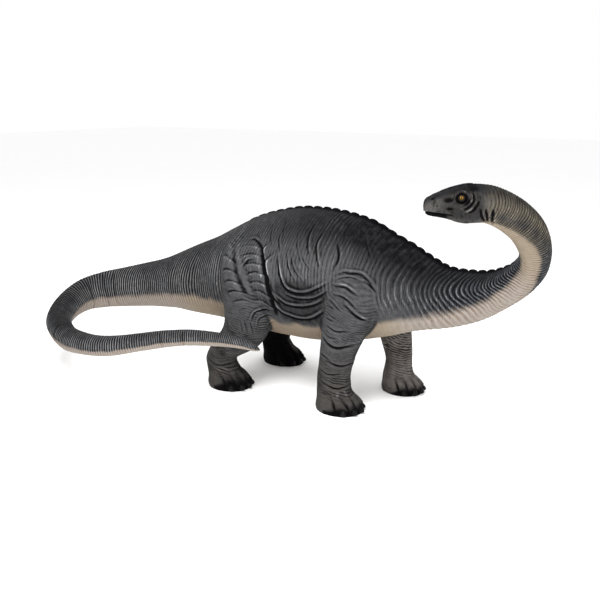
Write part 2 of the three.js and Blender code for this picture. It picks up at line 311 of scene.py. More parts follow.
# %% Plain legs
FRONT_LEG = np.array([
    [0, 2, 0, 144, 120],
    [28, 4, 0, 151, 126],
    [70, -8, 0, 134, 118],
    [120, -32, 0, 110, 104],
    [190, -37, 0, 102, 98],
    [280, -30, 0, 103, 98],
    [380, -24, 0, 115, 104],
    [480, -14, -4, 136, 114],
    [600, 2, -8, 164, 126],
    [720, 4, -24, 162, 132],
    [840, -4, -58, 138, 118],
    [930, -14, -98, 96, 84],
], float)
HIND_LEG = np.array([
    [0, 4, 0, 150, 124],
    [28, 4, 0, 158, 130],
    [70, -10, 0, 142, 120],
    [120, -44, 0, 118, 106],
    [190, -58, 0, 109, 100],
    [290, 48, -2, 163, 114],
    [400, 134, -8, 166, 124],
    [500, 158, -12, 168, 136],
    [610, 150, -20, 174, 146],
    [720, 132, -36, 180, 150],
    [830, 112, -68, 176, 138],
    [930, 90, -112, 150, 110],
    [1000, 76, -150, 96, 64],
], float)
LEAN_FROM = 200                       # a leg is upright below this height
LEAN_TO = 700                         # and has all of its lean from this height on
LEGS = [
    {"name": "front_right", "shape": FRONT_LEG, "foot": (334, -224),
     "side": -1, "lean": 66, "girth": 1.03},
    {"name": "front_left", "shape": FRONT_LEG, "foot": (521, 274),
     "side": 1, "lean": -126, "girth": 0.95},
    {"name": "hind_right", "shape": HIND_LEG, "foot": (-482, -262),
     "side": -1, "lean": 0, "girth": 1},
    {"name": "hind_left", "shape": HIND_LEG, "foot": (-450, 324),
     "side": 1, "lean": -44, "girth": 1},
]
LEG_RING_SPACING = 4.5
LEG_AROUND = 160
LEG_CURVE_STEPS = 400


def leg_middle(leg, height):
    """x, y and the half sizes of a leg at each height, in millimetres from the body's origin."""
    shape = leg["shape"]
    steps = np.linspace(0, len(shape) - 1, LEG_CURVE_STEPS)
    curve = smooth_curve(shape, steps)
    at = np.interp(height, curve[:, 0], steps)
    row = smooth_curve(shape, at)
    lean = leg["lean"] * smoothstep(LEAN_FROM, LEAN_TO, height)
    x = leg["foot"][0] + row[:, 1] + lean
    y = leg["foot"][1] + leg["side"] * row[:, 2]
    return x, y, row[:, 3] * leg["girth"], row[:, 4] * leg["girth"]


def leg_mesh(leg):
    """A closed leg, with the height and the angle round the leg at every point."""
    top = leg["shape"][-1, 0]
    heights = np.linspace(0, top, int(top / LEG_RING_SPACING) + 1)
    angle = np.arange(LEG_AROUND) / LEG_AROUND * math.tau
    x, y, long, wide = leg_middle(leg, heights)
    rings = []
    for i, height in enumerate(heights):
        ring = np.stack([x[i] + long[i] * np.cos(angle), y[i] + wide[i] * np.sin(angle),
                         np.full(LEG_AROUND, height)], axis=1)
        rings.append((ring + TO_ORIGIN) * MM)
    sole = (np.array([[x[0], y[0], 0]]) + TO_ORIGIN) * MM
    cap = (np.array([[x[-1], y[-1], top]]) + TO_ORIGIN) * MM
    points, faces = tube_mesh(rings, [LEG_AROUND] * len(rings), sole, cap)
    return points, faces, np.concatenate([np.tile(angle, len(rings)), [0, 0]])


legs_made = [leg_mesh(leg) for leg in LEGS]
print([len(points) for points, _, _ in legs_made], "points on the legs")

# %% [markdown]
# ## One skin
# The tube and the legs are joined to one closed surface, as the statue's mould is. Each point
# of it remembers how far along the body and round it, or up and round a leg, it lies. Where
# a leg meets the trunk the surface is relaxed until the sharp seam has become a soft hollow.

# %% Join the body and the legs
skin = make_object("skin", body_vertices, body_faces)
leg_points = np.vstack([points for points, _, _ in legs_made])
first_points = np.cumsum([0] + [len(points) for points, _, _ in legs_made])
leg_faces = [tuple(corner + first for corner in face)
             for first, (_, faces, _) in zip(first_points, legs_made) for face in faces]
four_legs = make_object("four_legs", leg_points, leg_faces)
join = skin.modifiers.new("join", "BOOLEAN")
join.operation = "UNION"
join.solver = "MANIFOLD"
join.object = four_legs
bpy.context.view_layer.objects.active = skin
bpy.ops.object.modifier_apply(modifier=join.name)
bpy.data.objects.remove(four_legs)
mesh = skin.data


def vertex_places(of_mesh):
    places = np.zeros(len(of_mesh.vertices) * 3)
    of_mesh.vertices.foreach_get("co", places)
    return places.reshape(-1, 3)


def nearest(places, tree_points):
    """For each place the index of the nearest of the other points, and how far away it is."""
    tree = KDTree(len(tree_points))
    for i, point in enumerate(tree_points.tolist()):
        tree.insert(point, i)
    tree.balance()
    found = [tree.find(place) for place in places.tolist()]
    return np.array([f[1] for f in found]), np.array([f[2] for f in found])


LEG_BOX = 0.08                        # metres round a leg beyond which no point counts as near it
places = vertex_places(mesh)
near_body, from_body = nearest(places, body_vertices)
leg_angles = np.concatenate([angles for _, _, angles in legs_made])
leg_of_point = np.repeat(np.arange(len(LEGS)), [len(points) for points, _, _ in legs_made])
in_a_leg_box = np.zeros(len(places), bool)
for points, _, _ in legs_made:
    above_low = places > points.min(0) - LEG_BOX
    below_high = places < points.max(0) + LEG_BOX
    in_a_leg_box |= (above_low & below_high).all(axis=1)
near_leg = np.zeros(len(places), int)
from_leg = np.ones(len(places))
near_leg[in_a_leg_box], from_leg[in_a_leg_box] = nearest(places[in_a_leg_box], leg_points)

station = body_station[near_body]
angle = body_angle[near_body]
leg_index = leg_of_point[near_leg]
leg_angle = leg_angles[near_leg]
LEG_BORDER = 0.03                     # metres over which body turns to leg
on_leg = smoothstep(-LEG_BORDER, LEG_BORDER, from_body - from_leg)
print(len(mesh.vertices), "points and", len(mesh.polygons), "faces in one skin")

# %% [markdown]
# ## Relaxing the seams
# Moving a point towards the middle of its neighbours, again and again, rounds a crease off. Here
# the strength of that falls away within a few centimetres of the seam, so the rest stays as it was.
# A point on the seam lies on the body and on a leg at once, so its two distances add up to nothing.

# %% Relax the surface where legs meet the trunk
SEAM_REACH = 0.044
SEAM_ROUNDS = 100
SEAM_PULL = 0.6                       # how far a point on the seam moves in one round
FEET_BELOW = 0.15                     # no seam lies below this height
near_seam = np.exp(-((from_body + from_leg) / SEAM_REACH) ** 2)
near_seam[(places[:, 2] < FEET_BELOW) | (near_seam < 0.001)] = 0
edges = np.zeros(len(mesh.edges) * 2, int)
mesh.edges.foreach_get("vertices", edges)
edges = edges.reshape(-1, 2)
edges = edges[(near_seam[edges] > 0).any(axis=1)]
neighbours = np.maximum(np.bincount(edges.ravel(), minlength=len(places)), 1)


def neighbour_mean(values):
    """The mean of the neighbours' values at each point that has an edge in the list."""
    total = np.zeros_like(values)
    for axis in range(values.shape[1]):
        total[:, axis] = (np.bincount(edges[:, 0], values[edges[:, 1], axis], len(values))
                          + np.bincount(edges[:, 1], values[edges[:, 0], axis], len(values)))
    return total / neighbours[:, None]


pull = SEAM_PULL * near_seam[:, None]
for _ in range(SEAM_ROUNDS):
    places += pull * (neighbour_mean(places) - places)
mesh.vertices.foreach_set("co", places.ravel())
mesh.update()
normals = np.zeros(len(places) * 3)
mesh.vertex_normals.foreach_get("vector", normals)
normals = normals.reshape(-1, 3)
print(int((near_seam > 0.1).sum()), "points relaxed at the seams")

# %% [markdown]
# ## Uneven things
# Nothing on a hand-made model repeats exactly. This noise is a smooth, seeded field in space,
# between -1 and 1, that bends the wrinkles and makes them stronger here and weaker there. Space is
# cut into cells, each corner of a cell gets a value by mixing up the digits of its whole-numbered
# place, and between the corners the values are blended.

# %% A smooth random field
AXIS_FACTORS = (73856093, 19349663, 83492791)    # large odd numbers, so that neighbours differ
SEED_FACTOR = 2654435761
MIX_FACTOR = 1274126177
KEPT_BITS = 0xFFFFF


def noise(points, size, seed):
    """A smooth random field from -1 to 1 with blobs of about the given size."""
    grid = points / size + seed * 17.31
    cell = np.floor(grid).astype(np.int64)
    part = grid - cell
    part = part * part * (3 - 2 * part)
    total = np.zeros(len(points))
    for corner in itertools.product((0, 1), repeat=3):
        x, y, z = ((cell[:, k] + corner[k]) * AXIS_FACTORS[k] for k in range(3))
        mixed = x ^ y ^ z ^ (seed * SEED_FACTOR)
        mixed = (mixed ^ (mixed >> 13)) * MIX_FACTOR
        value = ((mixed ^ (mixed >> 16)) & KEPT_BITS) / KEPT_BITS * 2 - 1
        weight = np.ones(len(points))
        for k in range(3):
            weight = weight * (part[:, k] if corner[k] else 1 - part[:, k])
        total += weight * value
    return total


# %% [markdown]
# ## The big folds
# On the flank, the shoulder, the thigh and the arm the sculptor has cut single large folds: slack
# loops of skin that hang from the ribs, crescents behind the shoulder, and rolls down the thigh.
# Each is a curve on the side of the animal, given by a few places on it (x and z in metres), with
# its width and depth in millimetres. A roll has its groove on the right of its direction, a crease
# is a groove with two lips, and a column is a thick strand of muscle; its last number says how many
# folds cross it. The curves are drawn for the right side, and the left side gets the same.

# %% Curves of the big folds
ROLLS = {
    "flank": [
        ([(0.127, 0.944), (0.161, 0.867), (0.219, 0.757), (0.343, 0.734), (0.503, 0.820)], 15, 9),
        ([(0.21, 0.715), (0.30, 0.694), (0.41, 0.712), (0.49, 0.765)], 11, 6),
        ([(0.123, 0.704), (0.195, 0.655), (0.277, 0.645), (0.38, 0.66), (0.459, 0.704)], 14, 8),
        ([(0.113, 0.671), (0.17, 0.59), (0.281, 0.562), (0.38, 0.58), (0.46, 0.635)], 15, 8),
        ([(0.106, 0.93), (0.058, 0.878), (0.082, 0.804), (0.115, 0.703), (0.182, 0.636)], 15, 9),
        ([(0.316, 1.123), (0.318, 1.028), (0.357, 0.944)], 15, 7),
        ([(0.396, 1.071), (0.385, 0.996), (0.436, 0.884)], 15, 7),
        ([(0.226, 1.059), (0.267, 0.969), (0.328, 0.874)], 10, 4),
        ([(0.298, 0.961), (0.333, 0.908), (0.382, 0.868)], 10, 4),
        ([(0.229, 0.937), (0.277, 0.857), (0.333, 0.805)], 11, 5),
        ([(0.196, 0.951), (0.234, 0.864), (0.286, 0.794)], 11, 5),
        ([(0.102, 1.053), (0.111, 1.009), (0.146, 0.946)], 11, 5),
        ([(0.086, 1.142), (0.105, 1.091), (0.128, 1.033)], 10, 4),
        ([(0.005, 1.097), (0.034, 1.029), (0.073, 0.972)], 10, 4),
    ],
    "hip": [
        ([(0.035, 0.984), (0.015, 0.937), (0.051, 0.877)], 13, 7),
        ([(-0.14, 0.985), (-0.09, 1.00), (-0.03, 0.98)], 14, 7),
    ],
    "neck": [
        ([(0.635, 1.087), (0.69, 0.997), (0.726, 0.936)], 12, 4),
    ],
    "front_leg": [
        ([(0.515, 0.863), (0.60, 0.885), (0.70, 0.87), (0.79, 0.781)], 15, 5),
        ([(0.531, 0.836), (0.627, 0.859), (0.708, 0.839)], 10, 5),
        ([(0.523, 0.807), (0.625, 0.805), (0.706, 0.761)], 13, 7),
        ([(0.537, 0.759), (0.625, 0.751), (0.696, 0.707)], 11, 6),
        ([(0.637, 0.719), (0.703, 0.66), (0.756, 0.615)], 14, 8),
        ([(0.50, 0.725), (0.57, 0.705), (0.63, 0.66)], 10, 4),
    ],
    "hind_leg": [
        ([(-0.13, 0.83), (-0.09, 0.875), (-0.04, 0.89)], 13, 6),
        ([(-0.03, 0.50), (-0.005, 0.565), (0.05, 0.595), (0.10, 0.59)], 11, 7),
        ([(0.00, 0.46), (0.015, 0.52), (0.055, 0.55), (0.11, 0.55)], 10, 6),
        ([(0.03, 0.43), (0.045, 0.475), (0.075, 0.50), (0.11, 0.50)], 10, 6),
    ],
}
COLUMNS = {
    "hind_leg": [
        ([(-0.315, 0.955), (-0.202, 0.805), (-0.118, 0.683), (-0.040, 0.575)], 58, 14, 6.2),
        ([(-0.150, 1.000), (-0.044, 0.865), (0.039, 0.718), (0.072, 0.530)], 66, 27, 8.6),
    ],
    "front_leg": [
        ([(0.66, 0.88), (0.63, 0.74), (0.60, 0.58)], 100, 10, 0),
    ],
}
CREASES = {
    "shoulder": [
        ([(0.492, 1.025), (0.526, 0.963), (0.512, 0.879)], 16, 10),
        ([(0.517, 1.133), (0.512, 1.083), (0.521, 1.042)], 11, 5),
        ([(0.576, 1.12), (0.611, 1.077), (0.618, 1.042)], 9, 4),
        ([(0.71, 0.83), (0.75, 0.80), (0.78, 0.76)], 10, 5),
    ],
    "front_leg": [
        ([(0.498, 0.675), (0.537, 0.674), (0.562, 0.667)], 9, 7),
        ([(0.492, 0.638), (0.541, 0.621), (0.58, 0.611)], 9, 7),
        ([(0.497, 0.598), (0.534, 0.596), (0.559, 0.589)], 9, 7),
        ([(0.50, 0.56), (0.57, 0.535), (0.66, 0.54)], 12, 8),
        ([(0.45, 0.48), (0.57, 0.43), (0.69, 0.45)], 18, 14),
        ([(0.46, 0.52), (0.52, 0.49), (0.58, 0.49)], 11, 6),
        ([(0.44, 0.37), (0.49, 0.36), (0.54, 0.34)], 12, 7),
        ([(0.50, 0.34), (0.59, 0.31), (0.66, 0.32)], 14, 10),
        ([(0.45, 0.27), (0.52, 0.25), (0.60, 0.26)], 11, 6),
        ([(0.45, 0.20), (0.56, 0.165), (0.63, 0.18)], 14, 8),
    ],
    "hind_leg": [
        ([(-0.09, 0.99), (-0.02, 0.955), (0.03, 0.88), (0.084, 0.774), (0.120, 0.653), (0.122, 0.53)],
         24, 16),
        ([(-0.235, 0.955), (-0.165, 0.84), (-0.095, 0.74), (-0.04, 0.66)], 30, 5),
        ([(-0.09, 0.51), (-0.08, 0.46), (-0.08, 0.42)], 9, 6),
        ([(-0.06, 0.51), (-0.05, 0.46), (-0.05, 0.42)], 9, 6),
        ([(-0.03, 0.51), (-0.02, 0.46), (-0.02, 0.41)], 9, 6),
        ([(-0.40, 0.20), (-0.30, 0.16), (-0.19, 0.18)], 11, 6),
        ([(-0.38, 0.25), (-0.30, 0.21), (-0.20, 0.22)], 9, 4),
    ],
}
SLACK = {"x": 0.29, "z": 0.655, "long": 0.25, "tall": 0.15}   # loose skin of the flank, no rings
CURVE_STEPS = 24
CLEAR_OF_TAIL = {-1: -0.23, 1: 1.2}   # y from which a ray to the flank doesn't meet the tail
FAR_AWAY = 9.0

side_of_leg = np.array([leg["side"] for leg in LEGS])[leg_index]
foot_x = np.array([(leg["foot"][0] + TO_ORIGIN[0]) * MM for leg in LEGS])[leg_index]
surface = BVHTree.FromObject(skin, bpy.context.evaluated_depsgraph_get())


def moved_with_leg(group, side, height):
    """How far forward a fold of the right leg lies when it is on the leg of this side."""
    if side < 0 or not group.endswith("leg"):
        return 0
    right, left = (LEGS[0], LEGS[1]) if group == "front_leg" else (LEGS[2], LEGS[3])
    leaning = smoothstep(LEAN_FROM, LEAN_TO, height / MM)
    stand = left["foot"][0] - right["foot"][0]
    return (stand + (left["lean"] - right["lean"]) * leaning) * MM


def curve_on_skin(group, corners, side):
    """Points on the skin under a curve drawn on the side of the animal."""
    found = []
    drawn = smooth_curve(np.array(corners), np.linspace(0, len(corners) - 1, CURVE_STEPS))
    for x, z in drawn:
        x += moved_with_leg(group, side, z)
        start = Vector((x, CLEAR_OF_TAIL[side], z))
        hit, normal, _, _ = surface.ray_cast(start, Vector((0, -side, 0)))
        if hit is not None:
            found.append((np.array(hit), np.array(normal)))
    return found


def to_curve(found, reach):
    """Points of the skin near a curve: index, signed distance to it and share of its length."""
    line = np.array([p for p, _ in found])
    line_normals = np.array([n for _, n in found])
    low, high = line.min(0) - reach, line.max(0) + reach
    close = np.nonzero(((places > low) & (places < high)).all(1))[0]
    best = np.full(len(close), FAR_AWAY)
    signed = np.zeros(len(close))
    share = np.zeros(len(close))
    for i in range(len(line) - 1):
        step = line[i + 1] - line[i]
        offset = places[close] - line[i]
        part = np.clip(offset @ step / (step @ step), 0, 1)
        away = offset - part[:, None] * step
        distance = np.linalg.norm(away, axis=1)
        left = np.cross(line_normals[i], step)
        better = distance < best
        best = np.where(better, distance, best)
        signed = np.where(better, np.sign(away @ left) * distance, signed)
        share = np.where(better, (i + part) / (len(line) - 1), share)
    near = best < reach
    return close[near], signed[near], share[near]


def bell(value, width):
    """A bell curve: 1 where the value is 0, about a third one width away, and soon nothing."""
    return np.exp(-(value / width) ** 2)


def roll_profile(across):
    """A crest with a deep groove on one side and a shallow one on the other."""
    crest = bell(across, 0.42)
    deep_side = bell(across + 0.95, 0.45)
    shallow_side = bell(across - 1.0, 0.5)
    height = 0.8 * crest - 0.95 * deep_side - 0.3 * shallow_side
    return height, 1.15 * height


def crease_profile(across):
    """A groove between two low lips. Its paint is never quite black."""
    height = 0.3 * bell(np.abs(across) - 1.0, 0.5) - 1.1 * bell(across, 0.36)
    return height, np.maximum(1.1 * height, -0.72)


def column_profile(across, share, folds_across):
    """A round strand. Its folds bow downwards and slant, and small ones lie between them."""
    bulge = np.sqrt(np.clip(1 - across ** 2, 0, 1))
    if not folds_across:
        return bulge, np.zeros(len(across))
    beats = math.pi * (share * folds_across - 0.28 * across ** 2 - 0.5 * across)
    groove = bell(np.sin(beats), 0.30)
    small = bell(np.sin(3 * beats), 0.40)
    lip = bell(np.sin(beats - 0.6), 0.40)
    height = bulge * (0.92 - 0.30 * groove - 0.03 * small + 0.08 * lip)
    dark_edge = 0.15 * bell(np.abs(across) - 1.0, 0.2)
    return height, bulge * (0.60 * lip - 0.85 * groove - 0.15 * small) - dark_edge


def fold_profile(kind, across, share, folds_across):
    """Height and lightness of a fold, at a distance across it in widths and a share of its length."""
    if kind == "roll":
        return roll_profile(across)
    if kind == "crease":
        return crease_profile(across)
    return column_profile(across, share, folds_across)


REACH = {"roll": 3, "crease": 3, "column": 1.25}       # widths from the curve to where a fold ends
TAPER = {"roll": 0.6, "crease": 0.6, "column": 0.7}    # the lower, the blunter are a fold's two ends
WAVER = {"roll": 0.25, "crease": 0.25, "column": 0.05}    # widths by which a fold wanders
FULL_DEPTH = {"roll": 8, "crease": 8, "column": 16}    # from here on the paint shows all of a fold
fold_height = np.zeros(len(places))
fold_tone = np.zeros(len(places))
fold_zone = np.zeros(len(places))
for kind, groups in (("column", COLUMNS), ("roll", ROLLS), ("crease", CREASES)):
    for group, rows in groups.items():
        for (corners, width, depth, *beats), side in itertools.product(rows, (-1, 1)):
            found = curve_on_skin(group, corners, side)
            if len(found) < CURVE_STEPS // 2:
                continue
            index, signed, share = to_curve(found, REACH[kind] * width * MM)
            taper = np.sin(math.pi * np.clip(share, 0.01, 0.99)) ** TAPER[kind]
            across = signed * -side / (width * MM)
            across = across + WAVER[kind] * noise(places[index], 0.05, 11)
            height, tone = fold_profile(kind, across, share, beats[0] if beats else 0)
            fold_height[index] += height * depth * MM * taper
            painted = min(1, depth / FULL_DEPTH[kind])
            painted = painted * (0.85 + 0.35 * noise(places[index], 0.055, 32))
            fold_tone[index] += tone * taper * painted
            zone = 0.85 * bell(across, 0.95) if kind == "column" else bell(across, 1.6)
            fold_zone[index] = np.maximum(fold_zone[index], zone * taper)
slack_x = (places[:, 0] - SLACK["x"]) / SLACK["long"]
slack_z = (places[:, 2] - SLACK["z"]) / SLACK["tall"]
slack = smoothstep(1.15, 0.8, np.hypot(slack_x, slack_z)) * (1 - on_leg)
fold_zone = np.maximum(fold_zone, slack)
print("big folds from", fold_height.min().round(4), "to", fold_height.max().round(4))

# %% [markdown]
# ## Rings of wrinkles
# The whole body is covered with rings of small folds. They are finest on the upper neck and widest
# over the shoulders and ribs, where narrow crests stand between wide grooves. On the sides they bow
# backwards like brackets, and on the rump they slant. They keep clear of the big folds. A ring is a
# wave whose phase grows by one from groove to groove, so a table of spacings is summed up along the
# body. Tables of a station and a value say how the rings change on the way.

# %% Rings round the body
RING_PITCH = [                        # a station and the millimetres from one groove to the next
    (0, 13), (5, 13.5), (7, 13), (9, 12), (10, 15), (11, 19), (13, 23), (15, 30), (16.5, 36),
    (17.6, 36), (18.6, 23), (21.6, 20), (22.6, 23), (24.6, 27), (26, 24), (28, 21.5), (33, 20),
    (36, 16), (40, 9),
]
RING_DEPTH = [                        # the depth of the groove, in millimetres
    (0, 0), (5.0, 0), (6.0, 2.6), (8.5, 2.9), (10, 4.0), (12, 6.0), (15, 7.0), (17, 6.5),
    (18.4, 3.4), (19.5, 2.6), (21.6, 2.6), (22.6, 4.4), (24.5, 4.6), (27, 3.8), (33, 3.2),
    (37, 2.4), (40, 0.8),
]
RING_PAINT = [                        # how strongly the paint shows it
    (5.2, 0), (6.2, 0.75), (8, 0.85), (10, 0.9), (11.5, 1.1), (15, 0.95), (17.5, 0.7),
    (18.4, 0.6), (21.6, 0.65), (23, 1.0), (26, 1.3), (40, 1.3),
]
RING_BOW = [                          # millimetres by which a ring bows backwards on the side
    (0, 2), (9, 6), (11, 20), (13, 45), (16, 66), (18, 50), (19.5, 30), (22, 22), (25, 6), (40, 2),
]
RING_SLANT = [(20, 0), (22, 60), (24, 130), (26, 90), (28.5, 20), (31, 0)]    # ridge against belly
CREST_SHARPNESS = [                   # 1 for an even wave, more for narrow crests
    (5, 1.0), (9, 1.1), (11, 1.7), (16, 2.4), (17.6, 2.6), (18.6, 1.6), (22, 1.4), (25, 1.2),
    (40, 1.0),
]
BELLY_EDGE = [                        # the degrees from the ridge where the cream belly starts
    (0, 168), (4.5, 160), (5.9, 150), (6.7, 144), (7.5, 140), (9, 139), (9.6, 134), (10.7, 119),
    (11.5, 109), (14, 106), (15.7, 110), (16.6, 114), (17.2, 118), (18.2, 122), (20, 128),
    (22, 124), (23.5, 112), (24.9, 108), (27, 108), (28.6, 104), (30.3, 97), (31.2, 94), (33, 100),
    (34.7, 107), (36.5, 104), (40, 100),
]
LEFT_BELLY_EDGE = [                   # and how many degrees lower it starts on the left
    (8.9, 0), (9.5, 3), (9.95, 18), (10.6, 40), (11.4, 66), (12.5, 60), (14, 30), (16, 0),
]
RINGS_UP_FROM = (0.90, 0.76)          # the rings of the trunk also cover the hips down to here
fine_phase = np.concatenate([[0], np.cumsum(
    fine_steps / (table(RING_PITCH, fine_stations[1:]) * MM))])


def crests(phase, sharpness):
    """1 on the crest of a fold and 0 in the groove; a higher sharpness narrows the crest."""
    return (0.5 + 0.5 * np.cos(phase * math.tau)) ** sharpness


degrees_down = np.degrees(np.abs(angle))
bow_share = smoothstep(12, 66, degrees_down) - 1.4 * smoothstep(62, 128, degrees_down)
bow = table(RING_BOW, station) * MM * bow_share
slant = table(RING_SLANT, station) * MM * (degrees_down / 110 - 0.5)
pitch = table(RING_PITCH, station) * MM
rolled_out = np.stack([along_body(station), degrees_down * 0.0018, np.sign(angle)], axis=1)
wander = 0.62 * noise(rolled_out, 0.16, 3) + 0.22 * noise(rolled_out, 0.055, 4)
wander += 0.12 * noise(places, 0.05, 30)
phase = np.interp(station, fine_stations, fine_phase) - (bow + slant) / pitch + wander
half_width = smooth_curve(HALF_SIZES, station)[:, 0]
from_ridge = np.abs(angle) * half_width * 0.8
with_scutes = smoothstep(11.2, 12.2, station) * smoothstep(23, 22, station)
clear_ridge = 1 - bell(from_ridge, 0.034) * with_scutes
rings = crests(phase, table(CREST_SHARPNESS, station))
on_ribs = smoothstep(15.5, 18, station) * smoothstep(24, 22.5, station)
rings = rings * (0.96 + (0.06 + 0.16 * on_ribs) * noise(rolled_out, 0.07, 24))
between = crests(2.13 * phase + 0.8 * noise(places, 0.08, 25), 1.2)
rings = np.clip(rings + 0.26 * between * on_ribs, 0, 1.2)
from_below = np.degrees(angle) % 360 - 180
right_edge = 180 - table(BELLY_EDGE, station)
left_edge = right_edge - table(LEFT_BELLY_EDGE, station)
beyond_edge = np.minimum(right_edge - from_below, left_edge + from_below)
on_neck = smoothstep(5, 8, station) * smoothstep(18, 16, station)
underside = smoothstep(-4, 30, beyond_edge) * (1 - 0.5 * on_neck)
underside = np.maximum(underside, 0.75 * on_neck * smoothstep(22, 34, beyond_edge))
underside = np.maximum(underside, on_ribs * smoothstep(-30, -6, beyond_edge))
strength = 0.92 + 0.10 * noise(places, 0.16, 5) + on_ribs * 0.35 * noise(places, 0.22, 6)
off_leg = 1 - on_leg * np.where(leg_index < 2, 1, smoothstep(*RINGS_UP_FROM, places[:, 2]))
strength = np.clip(strength, 0.2, 1.3) * clear_ridge * off_leg
strength *= (1 - 0.8 * underside) * (1 - 0.95 * fold_zone)
ring_height = (rings - 0.45) * table(RING_DEPTH, station) * MM * strength
print("ring folds from", ring_height.min().round(4), "to", ring_height.max().round(4))

# %% [markdown]
# ## Wrinkles on the legs
# The legs have the same skin, looser and more crumpled. Folds run round each shin and arm, cross
# each other in places, and slant a little forwards and down. They are the same kind of wave, whose
# phase is summed up over the height.

# %% Rings round the legs
LEG_PITCH = 15 * MM                   # on the shin; on the thigh it is half as much again
LEG_DEPTH = [                         # a height in metres and the depth of the folds in millimetres
    (0, 0), (0.09, 0), (0.13, 2.4), (0.2, 3.4), (0.4, 3.4), (0.55, 2.8), (0.8, 2.4), (1.0, 2),
]
LEG_SLANT = 0.35                      # rise of a fold for its length, from front to back
LEG_TOP = 1.4                         # metres; no leg is higher
LEG_PHASE_STEPS = 280
LEFT_FRONT = 1                        # number of the leg whose ankle is thinner behind
ANKLE = {"height": 0.19, "tall": 0.075, "depth": 17}
heights = np.linspace(0, LEG_TOP, LEG_PHASE_STEPS + 1)
steps = np.diff(heights) / (LEG_PITCH * (1 + 0.5 * smoothstep(0.5, 0.8, heights[1:])))
before_foot = places[:, 0] - foot_x
height_here = places[:, 2]
slanted = height_here + LEG_SLANT * before_foot
leg_phase = np.interp(slanted, heights, np.concatenate([[0], np.cumsum(steps)]))
leg_phase += 0.9 * noise(places, 0.14, 7) + 0.4 * noise(places, 0.05, 8)
leg_rings = crests(leg_phase, 1.0) * (0.75 + 0.4 * noise(places, 0.05, 26))
crossing = leg_phase * 0.55 + 2.2 * before_foot / 0.12 + noise(places, 0.06, 27)
crossing = crests(crossing, 2.5) * smoothstep(0.0, 0.6, noise(places, 0.11, 28))
leg_rings = leg_rings + 0.35 * crossing
behind = smoothstep(0.1, -0.7, np.cos(leg_angle)) * (leg_index == LEFT_FRONT)
ankle_height = -ANKLE["depth"] * MM * behind * on_leg
ankle_height *= bell(height_here - ANKLE["height"], ANKLE["tall"])
leg_depth = table(LEG_DEPTH, height_here) * MM
leg_strength = np.clip(0.85 + 0.55 * noise(places, 0.09, 9), 0.1, 1.4) * on_leg
leg_strength *= (1 - 0.95 * fold_zone) * (1 - off_leg * on_leg)
leg_strength *= 1 - 0.45 * smoothstep(0.48, 0.60, height_here)
leg_height = (leg_rings - 0.5) * leg_depth * leg_strength + ankle_height
print("leg folds from", leg_height.min().round(4), "to", leg_height.max().round(4))

# %% [markdown]
# ## Scutes and tail creases
# A row of low, dark scutes stands on the ridge from the neck to the hips. They are small mounds,
# 6 cm long and half as wide, one after another, and the row fades at both ends. A few rings of the
# tail are cut deeper, where the moulding bends.

# %% Scutes along the ridge, and deep rings on the tail
SCUTE_PITCH = 62 * MM
SCUTE_HALF = (31 * MM, 17 * MM)       # half the length and half the width
SCUTE_RISE = 15 * MM
SCUTE_FROM, SCUTE_FULL, SCUTE_FADING, SCUTE_TO = 11.7, 14, 20, 22.6    # stations
SCUTE_SMALLEST = 0.4                  # of the full height, at both ends of the row
TAIL_CREASES = [28.35, 28.95, 29.9, 32.9, 36.6, 37.15]                 # stations
CREASE_DEPTH = 5.5 * MM
CREASE_WIDTH = 7 * MM

metres_along = along_body(station)
scute_start, scute_end = along_body(SCUTE_FROM), along_body(SCUTE_TO)
scute_count = int((scute_end - scute_start) / SCUTE_PITCH)
scute_height = np.zeros(len(places))
for i in range(scute_count):
    middle = scute_start + (scute_end - scute_start) * (i + 0.5) / scute_count
    at = np.interp(middle, fine_length, fine_stations)
    growing = smoothstep(SCUTE_FROM, SCUTE_FULL, at)
    growing = min(growing, 1 - smoothstep(SCUTE_FADING, SCUTE_TO, at))
    rise = SCUTE_RISE * (SCUTE_SMALLEST + (1 - SCUTE_SMALLEST) * growing)
    square = ((metres_along - middle) / SCUTE_HALF[0]) ** 2 + (from_ridge / SCUTE_HALF[1]) ** 2
    mound = rise * np.sqrt(np.clip(1 - square, 0, 1))
    scute_height = np.maximum(scute_height, mound)
scute_height *= 1 - on_leg
on_ridge = bell(from_ridge, 0.042) * smoothstep(9, 12, station) * smoothstep(30, 24, station)
on_ridge = np.maximum(on_ridge, smoothstep(1 * MM, 5 * MM, scute_height)) * (1 - on_leg)

crease_height = np.zeros(len(places))
for at in TAIL_CREASES:
    wave = 0.006 * noise(places, 0.07, 12)
    crease_height -= CREASE_DEPTH * bell(metres_along - along_body(at) + wave, CREASE_WIDTH)
crease_height *= (1 - on_leg) * (0.6 + 0.5 * noise(places, 0.12, 13))
crease_height *= smoothstep(15, 60, degrees_down)
print(scute_count, "scutes and", len(TAIL_CREASES), "deep rings on the tail")

# %% [markdown]
# ## The head
# The head is small and wedge-shaped: a ridge of low bumps leads up the snout to a heavy brow, with
# the eye in a dark hollow below it. In front of the eye lies the nostril's hollow, behind it three
# crescent folds. The mouth is a dark line, its lower lip notched as if teeth showed. Each feature is
# a bump or a hollow round a place on the skin, measured along and across the head from there.

